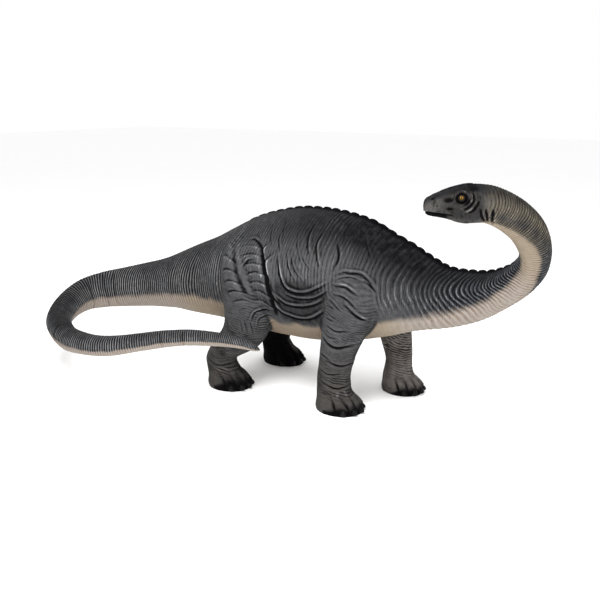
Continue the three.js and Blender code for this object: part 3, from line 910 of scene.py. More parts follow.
# %% Features of the head
EYE = {"station": 3.7, "angle": 65, "radius": 18, "sunk": 9}
LID_RADIUS = 15.0
HEAD_STATION = 5.6                    # the head and its folds end at this station
HEAD_HOLLOWS = [                      # half sizes and depth are in millimetres
    {"station": 2.62, "angle": 66, "along": 21, "across": 13, "depth": 10},
    {"station": 2.72, "angle": 101, "along": 17, "across": 8, "depth": 7},
    {"station": 1.2, "angle": 42, "along": 9, "across": 6, "depth": 5},
]
HEAD_BUMPS = [                        # the same, with the depth turned outwards
    {"station": 3.65, "angle": 40, "along": 34, "across": 13, "depth": -9},
    {"station": 2.75, "angle": 36, "along": 20, "across": 11, "depth": -6},
    {"station": 2.0, "angle": 30, "along": 17, "across": 10, "depth": -4},
    {"station": 1.3, "angle": 24, "along": 14, "across": 9, "depth": -3},
    {"station": 3.6, "angle": 96, "along": 26, "across": 9, "depth": -4},
    {"station": 4.6, "angle": 118, "along": 34, "across": 24, "depth": -4},
]
CHEEK_FOLDS = [(38, 8, 44), (57, -22, 62), (78, 16, 68)]    # radius round the eye, top and bottom
BROW_RADIUS = 38
THROAT_FOLDS = [5.42, 5.8, 6.22]      # stations
MOUTH = {"front": 0.5, "at_front": 23, "corner": 3.05, "at_corner": 51}    # stations, mm down
LIP_NOTCH_PITCH = 11 * MM


def surface_axes(at_station, degrees):
    """A point of the body's surface, and the directions along, across and out of it."""
    step = 0.02
    turned = math.radians(degrees)
    here = body_points([at_station], np.array([turned]))[0]
    across = (body_points([at_station], np.array([turned + step]))
              - body_points([at_station], np.array([turned - step])))[0]
    along = (body_points([at_station - step], np.array([turned]))
             - body_points([at_station + step], np.array([turned])))[0]
    out = unit(np.cross(along, across))
    if out @ (here - smooth_curve(CENTRES, at_station)[0]) < 0:
        out = -out
    along = unit(along - out * (along @ out))
    return here, along, np.cross(out, along), out


head_height = np.zeros(len(places))
head_tone = np.zeros(len(places))
hollow_shade = np.zeros(len(places))
in_head = np.nonzero(station < HEAD_STATION)[0]
head_places = places[in_head]
eye_places = {}
for side in (-1, 1):
    for feature in HEAD_HOLLOWS + HEAD_BUMPS:
        here, along, across, out = surface_axes(feature["station"], side * feature["angle"])
        u = (head_places - here) @ along / (feature["along"] * MM)
        v = (head_places - here) @ across / (feature["across"] * MM)
        w = (head_places - here) @ out / (40 * MM)
        shape = np.exp(-(u * u + v * v + w * w))
        head_height[in_head] -= feature["depth"] * MM * shape
        if feature["depth"] < 0:
            head_tone[in_head] += 0.22 * shape
        else:
            hollow_shade[in_head] = np.maximum(hollow_shade[in_head], shape ** 0.7)

    here, along, across, out = surface_axes(EYE["station"], side * EYE["angle"])
    eye_places[side] = (here - out * EYE["sunk"] * MM, out)
    offset = head_places - here
    u, v = offset @ along / MM, offset @ across / MM
    on_side = (offset @ out > -30 * MM) & (np.hypot(u, v) < 120)
    radius = np.hypot(u, v * 1.08) + 0.8 * noise(head_places, 0.012, 14)
    lid = 5.2 * bell(radius - LID_RADIUS - 2.5, 3.4)
    eyeball_room = -15 * (1 - smoothstep(LID_RADIUS - 5.5, LID_RADIUS - 0.5, radius))
    socket = -7 * bell(radius - LID_RADIUS - 9.5, 4.2)
    folds = np.zeros(len(u))
    lower = v * side
    for ring_radius, top, bottom in CHEEK_FOLDS:
        shown = smoothstep(0, 22, -u) * smoothstep(top - 8, top + 8, lower)
        shown *= smoothstep(bottom + 8, bottom - 12, lower)
        wavy = radius + 3.5 * noise(head_places, 0.035, 15) - ring_radius
        lips = 1.8 * bell(wavy + 9, 4.5) + 1.4 * bell(wavy - 9, 4)
        folds += shown * (lips - 6.5 * bell(wavy, 4.2))
    brow = bell(radius - BROW_RADIUS, 3.4) - 0.7 * bell(radius - BROW_RADIUS - 8, 4)
    brow = brow * smoothstep(14, -6, lower) * smoothstep(-16, 12, -u)
    round_eye = lid + eyeball_room + socket + folds + 3 * brow
    head_height[in_head] += np.where(on_side, round_eye, 0) * MM
    head_tone[in_head] += np.where(on_side, 0.24 * folds + 0.28 * brow, 0)
    dark = np.where(on_side, smoothstep(36, 25, radius), 0)
    hollow_shade[in_head] = np.maximum(hollow_shade[in_head], dark)

centre, _, up, _ = body_axes(station[in_head])
below = -((head_places - centre) * up).sum(axis=1)
mouth_depth = np.interp(station[in_head], [MOUTH["front"], MOUTH["corner"]],
                        [MOUTH["at_front"] * MM, MOUTH["at_corner"] * MM])
from_mouth = below - mouth_depth
in_mouth = smoothstep(MOUTH["corner"] + 0.12, MOUTH["corner"] - 0.1, station[in_head])
notch_phase = metres_along[in_head] / LIP_NOTCH_PITCH + 0.6 * noise(head_places, 0.03, 16)
notch = crests(notch_phase, 1.0)
lip_line = bell(from_mouth + 0.0012 * notch, 3.6 * MM)
upper_lip = bell(from_mouth + 7.5 * MM, 4.5 * MM)
lower_lip = bell(from_mouth - 7 * MM, 4.0 * MM)
teeth = notch * bell(from_mouth - 3.2 * MM, 2.2 * MM)
lips = 2.4 * upper_lip + 1.6 * lower_lip - 7.5 * lip_line - 2.6 * teeth
head_height[in_head] += in_mouth * MM * lips
below_lips = smoothstep(-7 * MM, -1 * MM, from_mouth)
below_lips = below_lips * smoothstep(MOUTH["corner"], 2.0, station[in_head])
lip_dark = np.maximum.reduce([lip_line, 0.8 * teeth, 0.97 * below_lips])
hollow_shade[in_head] = np.maximum(hollow_shade[in_head], in_mouth * lip_dark)
on_throat = smoothstep(92, 108, degrees_down) * smoothstep(172, 150, degrees_down)
for at in THROAT_FOLDS:
    away = metres_along - along_body(at) + 0.012 * bell(degrees_down - 125, 30)
    away = away + 0.004 * noise(places, 0.04, 31) - 0.0007 * (degrees_down - 120)
    throat = on_throat * (0.35 * bell(away - 0.012, 0.007) - bell(away, 0.0062))
    head_height += 6 * MM * throat
    head_tone += 1.1 * throat
head_skin = smoothstep(HEAD_STATION, HEAD_STATION - 1, station) * (1 - on_leg)
pebbles = 0.7 * noise(places, 0.009, 17) + 0.6 * noise(places, 0.016, 18)
wrinkled = bell(noise(places, 0.042, 33), 0.13) * smoothstep(2.4, 3.4, station)
wrinkled *= smoothstep(0.2, 0.7, 0.5 + noise(places, 0.06, 34))
head_height += head_skin * (pebbles * 1.2 - wrinkled * 2.4) * MM * (1 - hollow_shade)
head_tone += head_skin * (0.34 * pebbles - 0.6 * wrinkled)
print("head features from", head_height.min().round(4), "to", head_height.max().round(4))

# %% [markdown]
# ## The feet
# Each foot is a round pad with five toes. Grooves run down between the toes to the floor, the toes
# bulge a little, and each ends in a blunt nail with a rim of skin round it. The nails are pieces of
# their own, and here the skin only makes room for them.

# %% Toes
CLAW_ANGLES = [-64, -33, -4, 25, 55]                     # degrees from straight ahead, outwards
CLAW = {"half_depth": 21, "half_width": 19, "half_height": 20, "height": 26, "inset": 7}
TOE_GROOVES = [-82, -48, -18, 11, 40, 73]
TOE_TOP = 0.15                        # metres; the grooves between the toes run out here
FOOT_TOP = 0.16


def claw_centre(leg, degrees):
    """Middle of a claw and the direction in which it points."""
    _, ahead, _, long, wide = leg["shape"][1]
    turned = math.radians(degrees * leg["side"])
    out = np.array([math.cos(turned), math.sin(turned), 0])
    reach = np.array([leg["girth"] * long - CLAW["inset"], leg["girth"] * wide - CLAW["inset"], 0])
    foot = np.array([leg["foot"][0] + ahead, leg["foot"][1], CLAW["height"]])
    return (foot + out * reach + TO_ORIGIN) * MM, out


toe_height = np.zeros(len(places))
toe_shade = np.zeros(len(places))
low = (height_here < FOOT_TOP) & (on_leg > 0.5)
toe_angle = np.degrees((leg_angle + math.pi) % math.tau - math.pi) * side_of_leg
height_share = smoothstep(TOE_TOP, 0.055, height_here) * low
for degrees in TOE_GROOVES:
    bent = toe_angle - degrees + 4 * noise(places, 0.05, 19)
    groove = bell(bent, 6.0) * height_share
    toe_height -= 19 * MM * groove
    toe_shade = np.maximum(toe_shade, groove)
on_toe = np.zeros(len(places))
for degrees in CLAW_ANGLES:
    on_toe = np.maximum(on_toe, bell(toe_angle - degrees, 11))
    toe_height += 9 * MM * bell(toe_angle - degrees, 9) * bell(height_here - 0.062, 0.034) * low
for leg in LEGS:
    for degrees in CLAW_ANGLES:
        middle, _ = claw_centre(leg, degrees)
        away = np.linalg.norm(places - middle, axis=1) / MM
        toe_height += low * MM * (-5.0 * bell(away, 13) + 3.0 * bell(away - 25, 5))
        toe_shade = np.maximum(toe_shade, low * bell(away - 17, 6))
toe_height *= smoothstep(0.0, 0.012, height_here)
print("toes from", toe_height.min().round(4), "to", toe_height.max().round(4))

# %% [markdown]
# ## Moulding the skin
# All the reliefs are added up and the skin is moved by their sum along its own normals. Near the
# floor it moves sideways only, so that the soles stay flat, and nothing leaves the box of the part.

# %% Move the skin
SIDEWAYS_BELOW = 0.02
ON_FLOOR = 0.0005
BOX_EDGE = 0.3 * MM                   # the skin stays this far inside the box
broad = 2.2 * MM * noise(places, 0.13, 20) * smoothstep(5, 8, station)
fine = 0.5 * MM * noise(places, 0.012, 21)
detail = ring_height + leg_height + fold_height + crease_height
lift = detail + scute_height + head_height + toe_height + broad + fine - SKIN_INSET
direction = normals.copy()
near_floor = height_here < SIDEWAYS_BELOW
direction[near_floor, 2] = 0
direction[near_floor] = unit(direction[near_floor] + 1e-9)
sole = (height_here < ON_FLOOR) & (np.abs(normals[:, 2]) > 0.9)
direction[sole] = 0
moved = places + direction * lift[:, None]
moved[:, 2] = np.where(height_here < ON_FLOOR, 0.0, np.maximum(moved[:, 2], ON_FLOOR))
low_corner, high_corner = (np.array(corner) for corner in box_at_load)
moved = np.clip(moved, low_corner + [BOX_EDGE, BOX_EDGE, 0], high_corner - BOX_EDGE)
mesh.vertices.foreach_set("co", moved.ravel())
mesh.update()


def shade_smooth(of_mesh):
    of_mesh.polygons.foreach_set("use_smooth", np.ones(len(of_mesh.polygons), bool))


shade_smooth(mesh)
print("lift from", lift.min().round(4), "to", lift.max().round(4), "m")

# %% [markdown]
# ## What the painter sees
# A painter of such a statue sprays a base coat, washes dark paint into the grooves and drags a dry,
# light brush over the crests. For this each point of the skin keeps a few numbers: how high it stands
# over its surroundings, whether it is on the cream belly, where the back is darker, and where shade
# and light are painted: shade in the hollows, at the seams, between the toes, on the inner legs,
# under the belly and on the tail's outer bend, and light on the far front leg. The ridge and the toes
# are painted black.

# %% Masks for the paint
EDGE_SOFTNESS = [                     # a station and the degrees over which grey turns to cream
    (5, 14), (8, 26), (16, 30), (19, 12), (23, 12), (26, 20), (36, 18), (40, 12),
]
# the back is painted darker; the rise at stations 31 to 33, on the tail's outer bend that turns away
# from the lights, is painted shade
TOP_DARK_AND_BEND_SHADE = [                          # how dark the back is there
    (0, 0.9), (2.5, 1.0), (4.8, 1.0), (6, 0.75), (10, 0.65), (12, 0.72), (13.5, 0.6), (15, 0.75),
    (17, 1.0), (19, 1.0), (20.5, 0.85), (22, 0.55), (23.5, 0.55), (26, 0.5), (29, 0.3), (31, 0.7),
    (33, 0.8), (34.5, 0.5), (40, 0.4),
]
TOP_EDGE = [                          # and the degrees down to which it is
    (0, 84), (6, 84), (12, 70), (14, 66), (15.5, 78), (16.5, 104), (17.6, 100), (19, 72),
    (22, 68), (24, 84), (40, 90),
]
# painted shade on the side of each leg that faces the other legs, darkest on the far hind leg
INNER_LEG_SHADE = np.array([0.25, 0.1, 0.5, 1.0])             # one number for each leg, in their order
BAND_TOP = np.array([0.078, 0.078, 0.105, 0.125])        # the toes' black band, in metres
ring_tone = (rings - 0.5) * strength * table(RING_PAINT, station)
leg_tone = (leg_rings - 0.55) * leg_strength * smoothstep(0.08, 0.14, height_here)
fold_tone = np.clip(fold_tone, -1.2, 1.2) + 0.8 * np.tanh(crease_height / (5 * MM)) + head_tone
relief = 0.50 + 0.70 * ring_tone + 0.62 * leg_tone + 0.60 * fold_tone - 0.15 * slack
relief = np.clip(relief + 0.05 * noise(places, 0.02, 29), 0, 1)
belly_blend = beyond_edge + 4 * noise(places, 0.06, 22)
cream = np.clip(0.5 + belly_blend / table(EDGE_SOFTNESS, station), 0, 1)
cream *= (1 - smoothstep(0.15, 0.6, on_leg)) * smoothstep(3.6, 5.6, station)
seam_shade = bell(from_body + from_leg, 0.022) * smoothstep(0.72, 0.55, height_here)
# painted shade: the inner sides of the legs are painted darker, by the numbers of INNER_LEG_SHADE
faces_inwards = smoothstep(-0.4, 0.3, -normals[:, 1] * side_of_leg)
inner_leg_shade = faces_inwards * on_leg * INNER_LEG_SHADE[leg_index]
band_top = BAND_TOP[leg_index] * (0.72 + 0.28 * on_toe)
band_top = band_top * smoothstep(128, 60, np.abs(toe_angle)) + 0.018 * noise(places, 0.05, 35)
toe_band = low * smoothstep(band_top + 0.02, 0.5 * band_top, height_here)
toe_band = toe_band * smoothstep(0.005, 0.03, band_top)
foot_brown = 0.8 * on_leg * smoothstep(0.55, 0.08, height_here)
# painted light: the far front leg, which the body shades from the lamps, is painted paler from its foot
# up
pale_leg = on_leg * (leg_index == LEFT_FRONT) * smoothstep(0.0, 0.1, height_here)
# painted shade in the head's hollows, between the toes, at the seams and on the inner legs, with the
# black paint of the ridge and the toes' black band
shade = np.maximum.reduce([
    hollow_shade, 0.85 * toe_shade, 0.5 * seam_shade, 0.8 * on_ridge, inner_leg_shade, 0.82 * toe_band])
shade = np.clip(shade, 0, 1)
neck_brown = smoothstep(4.6, 6, station) * smoothstep(10.8, 8.5, station) * (1 - on_leg)
neck_brown = np.maximum(neck_brown, 0.4 * smoothstep(5.6, 4.6, station))
neck_blue = smoothstep(9.5, 12, station) * smoothstep(18, 15, station) * (1 - on_leg)


def keep(of_mesh, name, values):
    """Stores one number for each point of a mesh, for its paint to read."""
    attribute = of_mesh.attributes.new(name, "FLOAT", "POINT")
    attribute.data.foreach_set("value", values.astype(np.float32))


flow = np.where(on_leg > 0.5, height_here, metres_along)
half_girth = smooth_curve(HALF_SIZES, station).mean(axis=1)
round_body = np.where(on_leg > 0.5, leg_angle * 0.11, angle * half_girth)
steady = (1 - bell(from_body + from_leg, 0.02)) * (1 - 0.8 * fold_zone) * clear_ridge
steady *= 1 - 0.6 * smoothstep(22.5, 24.5, station) * (1 - on_leg)
# the darker back, with painted shade where the tail's outer bend turns away from the lights
top = smoothstep(table(TOP_EDGE, station), 34, degrees_down) * off_leg * table(TOP_DARK_AND_BEND_SHADE, station)
face = smoothstep(0.2, 3.2, station) * smoothstep(5.8, 4.8, station)
face = face * smoothstep(160, 120, degrees_down)
top = np.maximum(top, 0.72 * face)
cool_cream = smoothstep(10.5, 12.5, station) * smoothstep(18, 17, station)
cool_cream = cool_cream + smoothstep(24.5, 26, station)
# painted shade: the cream under the trunk is painted darker
belly_dust = cream * smoothstep(17.6, 19, station) * smoothstep(24.5, 23, station)
belly_dust *= 1 + 0.35 * noise(places, 0.06, 36)
neck_band = neck_brown * bell(belly_blend + 30, 16)
masks = {
    "relief": relief, "pale_leg": pale_leg, "belly_dust": belly_dust,
    "cream": cream, "cool_cream": cool_cream, "shade": shade, "top": top, "foot": foot_brown,
    "neck_brown": neck_brown, "neck_blue": neck_blue, "neck_band": neck_band,
    "flow": flow, "round": round_body, "steady": steady,
}
for name, values in masks.items():
    keep(mesh, name, values)
    print(name, "mean", values.mean().round(3))

# %% [markdown]
# ## Shader groups
# Three effects are used by several of the paints, so each is a node group: mottling at three
# scales, a fine grain for the bump, and paint that lies dark in the grooves and light on the crests.
# A fourth group draws the skin's fine lines. A few small functions keep the wiring of the nodes
# short: each adds one node, sets its inputs and gives back its output.

# %% Helpers for shader nodes
def set_inputs(tree, node, values):
    """Each value is a plain one or the output socket of another node."""
    for key, value in values.items():
        if isinstance(value, bpy.types.NodeSocket):
            tree.links.new(value, node.inputs[key])
        else:
            node.inputs[key].default_value = value


def add_node(tree, kind, inputs=None, output=0, **settings):
    made = tree.nodes.new(kind)
    for key, value in settings.items():
        setattr(made, key, value)
    set_inputs(tree, made, inputs or {})
    return made.outputs[output]


def maths(tree, operation, first, second=0.0, clamp=False):
    return add_node(tree, "ShaderNodeMath", {0: first, 1: second},
                    operation=operation, use_clamp=clamp)


def swing(tree, value, amount, middle=0.5):
    """Turns a value that varies round its middle into one that varies round 0, by some amount."""
    return maths(tree, "MULTIPLY", maths(tree, "SUBTRACT", value, middle), amount)


def ramp(tree, value, low, high, to_low=0.0, to_high=1.0):
    """A smooth ramp from one value to another."""
    return add_node(tree, "ShaderNodeMapRange", {
        "Value": value, "From Min": low, "From Max": high, "To Min": to_low, "To Max": to_high,
    }, interpolation_type="SMOOTHSTEP")


def blend(tree, share, first, second):
    """Mixes two colours."""
    return add_node(tree, "ShaderNodeMix", {0: share, 6: first, 7: second},
                    output=2, data_type="RGBA")


def stored(tree, name):
    """A number kept for each point of the mesh."""
    return add_node(tree, "ShaderNodeAttribute", output="Fac", attribute_name=name)


def new_group(name, inputs, outputs):
    """An empty node group with named sockets; returns its tree, its inputs and its outputs."""
    tree = bpy.data.node_groups.new(name, "ShaderNodeTree")
    for socket, kind, value in inputs:
        made = tree.interface.new_socket(socket, in_out="INPUT", socket_type=kind)
        if value is not None:
            made.default_value = value
    for socket, kind in outputs:
        tree.interface.new_socket(socket, in_out="OUTPUT", socket_type=kind)
    start = tree.nodes.new("NodeGroupInput")
    end = tree.nodes.new("NodeGroupOutput")
    return tree, start.outputs, end.inputs


def use_group(tree, group, inputs, output):
    made = tree.nodes.new("ShaderNodeGroup")
    made.node_tree = group
    set_inputs(tree, made, inputs)
    return made.outputs[output]


def rgb(red, green, blue):
    """A paint colour, given as the 0 to 255 values seen on a screen."""
    def linear(value):
        value = value / 255
        return value / 12.92 if value <= 0.04045 else ((value + 0.055) / 1.055) ** 2.4
    return (linear(red), linear(green), linear(blue), 1.0)


# %% [markdown]
# The mottling gives cloudy patches a hand wide, blotches of a few centimetres and a speckle of a few
# millimetres, as sprayed and sponged paint has. A size above 1 makes all three finer.

# %% Mottling
# name, patches per metre, steps of detail
MOTTLING = [("Clouds", 4.5, 3.0), ("Blotches", 26.0, 4.0), ("Speckle", 170.0, 2.0)]
mottle, inputs, outputs = new_group(
    "Mottled paint",
    [("Position", "NodeSocketVector", None), ("Size", "NodeSocketFloat", 1.0)],
    [(name, "NodeSocketFloat") for name, _, _ in MOTTLING])
for name, per_metre, detail_steps in MOTTLING:
    scaled = maths(mottle, "MULTIPLY", inputs["Size"], per_metre)
    value = add_node(mottle, "ShaderNodeTexNoise", {
        "Vector": inputs["Position"], "Scale": scaled, "Detail": detail_steps, "Roughness": 0.6})
    mottle.links.new(value, outputs[name])

# %% [markdown]
# The grain is the skin's own fine texture: tiny scales with soft cracks between them, over a
# slight unevenness of the moulded surface. It only feeds the bump.

# %% Grain of the skin
grain, inputs, outputs = new_group(
    "Skin grain",
    [("Position", "NodeSocketVector", None), ("Scale Size", "NodeSocketFloat", 1.0)],
    [("Height", "NodeSocketFloat"), ("Cracks", "NodeSocketFloat")])
SCALES_PER_METRE = 130.0
warp = add_node(grain, "ShaderNodeTexNoise", {
    "Vector": inputs["Position"], "Scale": 40.0}, output="Color")
warped = add_node(grain, "ShaderNodeMix", {
    0: 0.02, 4: inputs["Position"], 5: warp}, output=1, data_type="VECTOR")
cell_scale = maths(grain, "MULTIPLY", inputs["Scale Size"], SCALES_PER_METRE)
cells = add_node(grain, "ShaderNodeTexVoronoi", {
    "Vector": warped, "Scale": cell_scale}, feature="DISTANCE_TO_EDGE")
cracks = ramp(grain, cells, 0.0, 0.16, 1.0, 0.0)
fine_noise = add_node(grain, "ShaderNodeTexNoise", {
    "Vector": inputs["Position"], "Scale": 260.0, "Detail": 3.0})
raised = maths(grain, "MULTIPLY", ramp(grain, cells, 0.0, 0.35), 0.7)
height = maths(grain, "ADD", raised, maths(grain, "MULTIPLY", fine_noise, 0.45))
grain.links.new(height, outputs["Height"])
grain.links.new(cracks, outputs["Cracks"])

# %% [markdown]
# Between the moulded folds lie finer lines, which follow the folds round the body and the legs. They
# are drawn by noise that is stretched along the folds. Flow is the distance across the folds, Round
# the distance along them, and a second, slower noise bends the lines a little.

# %% Fine lines that follow the folds
creases, inputs, outputs = new_group(
    "Fine lines",
    [("Flow", "NodeSocketFloat", 0.0), ("Round", "NodeSocketFloat", 0.0),
     ("Position", "NodeSocketVector", None)],
    [("Lines", "NodeSocketFloat")])
LINES_PER_METRE, BREAKS_PER_METRE = 150.0, 9.0
bent = add_node(creases, "ShaderNodeTexNoise", {
    "Vector": inputs["Position"], "Scale": 14.0, "Detail": 1.0})
flow_bent = maths(creases, "ADD", inputs["Flow"], maths(creases, "MULTIPLY", bent, 0.035))
stretched = add_node(creases, "ShaderNodeCombineXYZ", {
    "X": maths(creases, "MULTIPLY", flow_bent, LINES_PER_METRE),
    "Y": maths(creases, "MULTIPLY", inputs["Round"], BREAKS_PER_METRE)})
lines = add_node(creases, "ShaderNodeTexNoise", {
    "Vector": stretched, "Scale": 1.0, "Detail": 2.0, "Roughness": 0.6})
creases.links.new(ramp(creases, lines, 0.36, 0.70), outputs["Lines"])

# %% [markdown]
# The relief paint takes three colours. The wash fills what lies low, the base coat covers the
# middle, and the dry brush catches only the crests, broken up by the speckle.

# %% Paint that follows the relief
brushed, inputs, outputs = new_group(
    "Wash and dry brush",
    [("Relief", "NodeSocketFloat", 0.5), ("Speckle", "NodeSocketFloat", 0.5),
     ("Clouds", "NodeSocketFloat", 0.5), ("Wash", "NodeSocketColor", (0, 0, 0, 1)),
     ("Base", "NodeSocketColor", (0.1, 0.1, 0.1, 1)), ("Brush", "NodeSocketColor", (0.3, 0.3, 0.3, 1)),
     ("Brush Amount", "NodeSocketFloat", 1.0)],
    [("Color", "NodeSocketColor"), ("Washed", "NodeSocketFloat")])
high = maths(brushed, "ADD", inputs["Relief"], swing(brushed, inputs["Speckle"], 0.28))
washed = ramp(brushed, high, 0.10, 0.52, 1.0, 0.0)
patchy = ramp(brushed, inputs["Clouds"], 0.30, 0.65, 0.70, 1.0)
crest = maths(brushed, "MULTIPLY", ramp(brushed, high, 0.60, 0.92), patchy)
crest = maths(brushed, "MULTIPLY", crest, inputs["Brush Amount"], clamp=True)
colour = blend(brushed, crest, inputs["Base"], inputs["Brush"])
colour = blend(brushed, washed, colour, inputs["Wash"])
brushed.links.new(colour, outputs["Color"])
brushed.links.new(washed, outputs["Washed"])
print("groups:", [group.name for group in bpy.data.node_groups])

# %% [markdown]
# ## The painted skin
# The skin is slate grey, brownish on the upper neck and bluish lower down, with brown-grey feet and
# a cream belly whose border is soft and uneven. The scutes and the toes are painted nearly black, and
# near-black painted shade fills the hollows, the seams and the inner sides of the legs. The belly
# gets painted shade, and the far front leg painted light. The paint is nearly matt, and its brushed
# crests are a little smoother than the washed grooves. Each mask that was kept with the points blends
# in one more colour, as one coat goes over another.

# %% Skin material
SLATE = rgb(70, 70, 71)
BACK_DARK = rgb(8, 8, 9)
BACK_BRUSH = rgb(44, 44, 45)
SLATE_WASH = rgb(9, 9, 10)
SLATE_BRUSH = rgb(150, 150, 151)
NECK_BROWN = rgb(83, 78, 69)
NECK_BRUSH = rgb(162, 149, 129)
NECK_BAND = rgb(44, 46, 51)
NECK_BLUE = rgb(54, 56, 60)
FOOT_BASE = rgb(61, 57, 53)
# painted light for the far front leg
PAINTED_LIGHT_LEG = rgb(100, 95, 91)
CREAM = rgb(136, 125, 109)
CREAM_COOL = rgb(142, 134, 126)
# a darker cream, for the painted shade under the trunk
CREAM_PAINTED_SHADE = rgb(118, 106, 92)
CREAM_WASH = rgb(108, 94, 84)
CREAM_BRUSH = rgb(165, 154, 138)
# near black: painted shade in hollows, seams and inner legs, and the black paint of the ridge and the
# toes
HOLLOW_DARK = rgb(3, 3, 4)
BLOTCH_TINT = rgb(46, 46, 49)


def new_material(name):
    made = bpy.data.materials.new(name)
    made.use_nodes = True
    shader = made.node_tree.nodes["Principled BSDF"]
    return made, made.node_tree, shader


skin_paint, tree, shader = new_material("painted skin")
position = add_node(tree, "ShaderNodeTexCoord", output="Object")
clouds = use_group(tree, mottle, {"Position": position}, "Clouds")
blotches = use_group(tree, mottle, {"Position": position}, "Blotches")
speckle = use_group(tree, mottle, {"Position": position}, "Speckle")
cracks = use_group(tree, grain, {"Position": position}, "Cracks")
grain_height = use_group(tree, grain, {"Position": position}, "Height")
hairlines = use_group(tree, creases, {
    "Flow": stored(tree, "flow"), "Round": stored(tree, "round"), "Position": position}, "Lines")
hairlines = maths(tree, "MULTIPLY", hairlines, stored(tree, "steady"))
relief_here = maths(tree, "SUBTRACT", stored(tree, "relief"), maths(tree, "MULTIPLY", cracks, 0.06))
relief_here = maths(tree, "ADD", relief_here, swing(tree, hairlines, 0.16, middle=0.45))

# %% [markdown]
# The grey and the cream are each a base coat with its wash and its dry brush. The cream goes over
# the grey below the uneven border, and near black goes over both: painted shade in the hollows,
# seams, toe grooves and inner legs, and the black paint of the toes and scutes.

# %% Coats of the skin
base = blend(tree, stored(tree, "neck_brown"), SLATE, NECK_BROWN)
base = blend(tree, stored(tree, "neck_blue"), base, NECK_BLUE)
# the darker back, and painted shade on the tail's outer bend
base = blend(tree, stored(tree, "top"), base, BACK_DARK)
base = blend(tree, maths(tree, "MULTIPLY", stored(tree, "neck_band"), 0.55), base, NECK_BAND)
base = blend(tree, stored(tree, "foot"), base, FOOT_BASE)
# painted light on the far front leg
base = blend(tree, stored(tree, "pale_leg"), base, PAINTED_LIGHT_LEG)
base = blend(tree, ramp(tree, blotches, 0.35, 0.7, 0.0, 0.4), base, BLOTCH_TINT)
brush = blend(tree, stored(tree, "neck_brown"), SLATE_BRUSH, NECK_BRUSH)
brush = blend(tree, stored(tree, "top"), brush, BACK_BRUSH)
on_relief = {"Relief": relief_here, "Speckle": speckle, "Clouds": clouds}
grey = use_group(tree, brushed, {
    **on_relief, "Wash": SLATE_WASH, "Base": base, "Brush": brush, "Brush Amount": 0.85}, "Color")
washed = use_group(tree, brushed, on_relief, "Washed")
pale_base = blend(tree, stored(tree, "cool_cream"), CREAM, CREAM_COOL)
# painted shade under the trunk
pale_base = blend(tree, stored(tree, "belly_dust"), pale_base, CREAM_PAINTED_SHADE)
pale = use_group(tree, brushed, {
    **on_relief, "Wash": CREAM_WASH, "Base": pale_base, "Brush": CREAM_BRUSH,
    "Brush Amount": 0.9}, "Color")
border = maths(tree, "ADD", stored(tree, "cream"), swing(tree, blotches, 0.35))
border = maths(tree, "ADD", border, swing(tree, speckle, 0.25))
colour = blend(tree, ramp(tree, border, 0.12, 0.88), grey, pale)
# near black over painted shade in hollows, seams and inner legs, and over the black ridge and toes
dark = maths(tree, "ADD", stored(tree, "shade"), swing(tree, speckle, 0.35))
colour = blend(tree, ramp(tree, dark, 0.15, 0.85, 0.0, 0.96), colour, HOLLOW_DARK)
roughness = maths(tree, "ADD", ramp(tree, blotches, 0.3, 0.7, 0.62, 0.76),
                  maths(tree, "MULTIPLY", washed, 0.16))
bump_height = maths(tree, "ADD", grain_height, maths(tree, "MULTIPLY", hairlines, 0.7))
bump = add_node(tree, "ShaderNodeBump", {"Strength": 0.6, "Distance": 0.0024, "Height": bump_height})
set_inputs(tree, shader, {
    "Base Color": colour, "Roughness": roughness, "Normal": bump, "Specular IOR Level": 0.02})
mesh.materials.clear()
mesh.materials.append(skin_paint)
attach(skin, "root")
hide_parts(*FLESH_NODES)
print("the skin replaces", FLESH_NODES)

# %% [markdown]
# ## Claws
# The nails are blunt, dark cones, ribbed lengthways and worn paler along their lower edge. Each
# one is a rounded form squeezed towards its tip and a little flattened below. They keep the
# places of the CAD claws and are a hair smaller.

# %% Claws
CLAW_AROUND = 28
CLAW_ROWS = 22
RIBS = 7                              # round each nail
NAIL_WASH = rgb(4, 4, 4)
NAIL_BLACK = rgb(9, 8, 8)
NAIL_BRUSH = rgb(34, 31, 28)
CLAW_SHARE = 0.97                     # of the size of the CAD claw
CLAW_HALF = [share * CLAW_SHARE for share in (
    CLAW["half_depth"] * MM, CLAW["half_width"] * MM, CLAW["half_height"] * MM)]
UPWARDS = np.array([0, 0, 1])


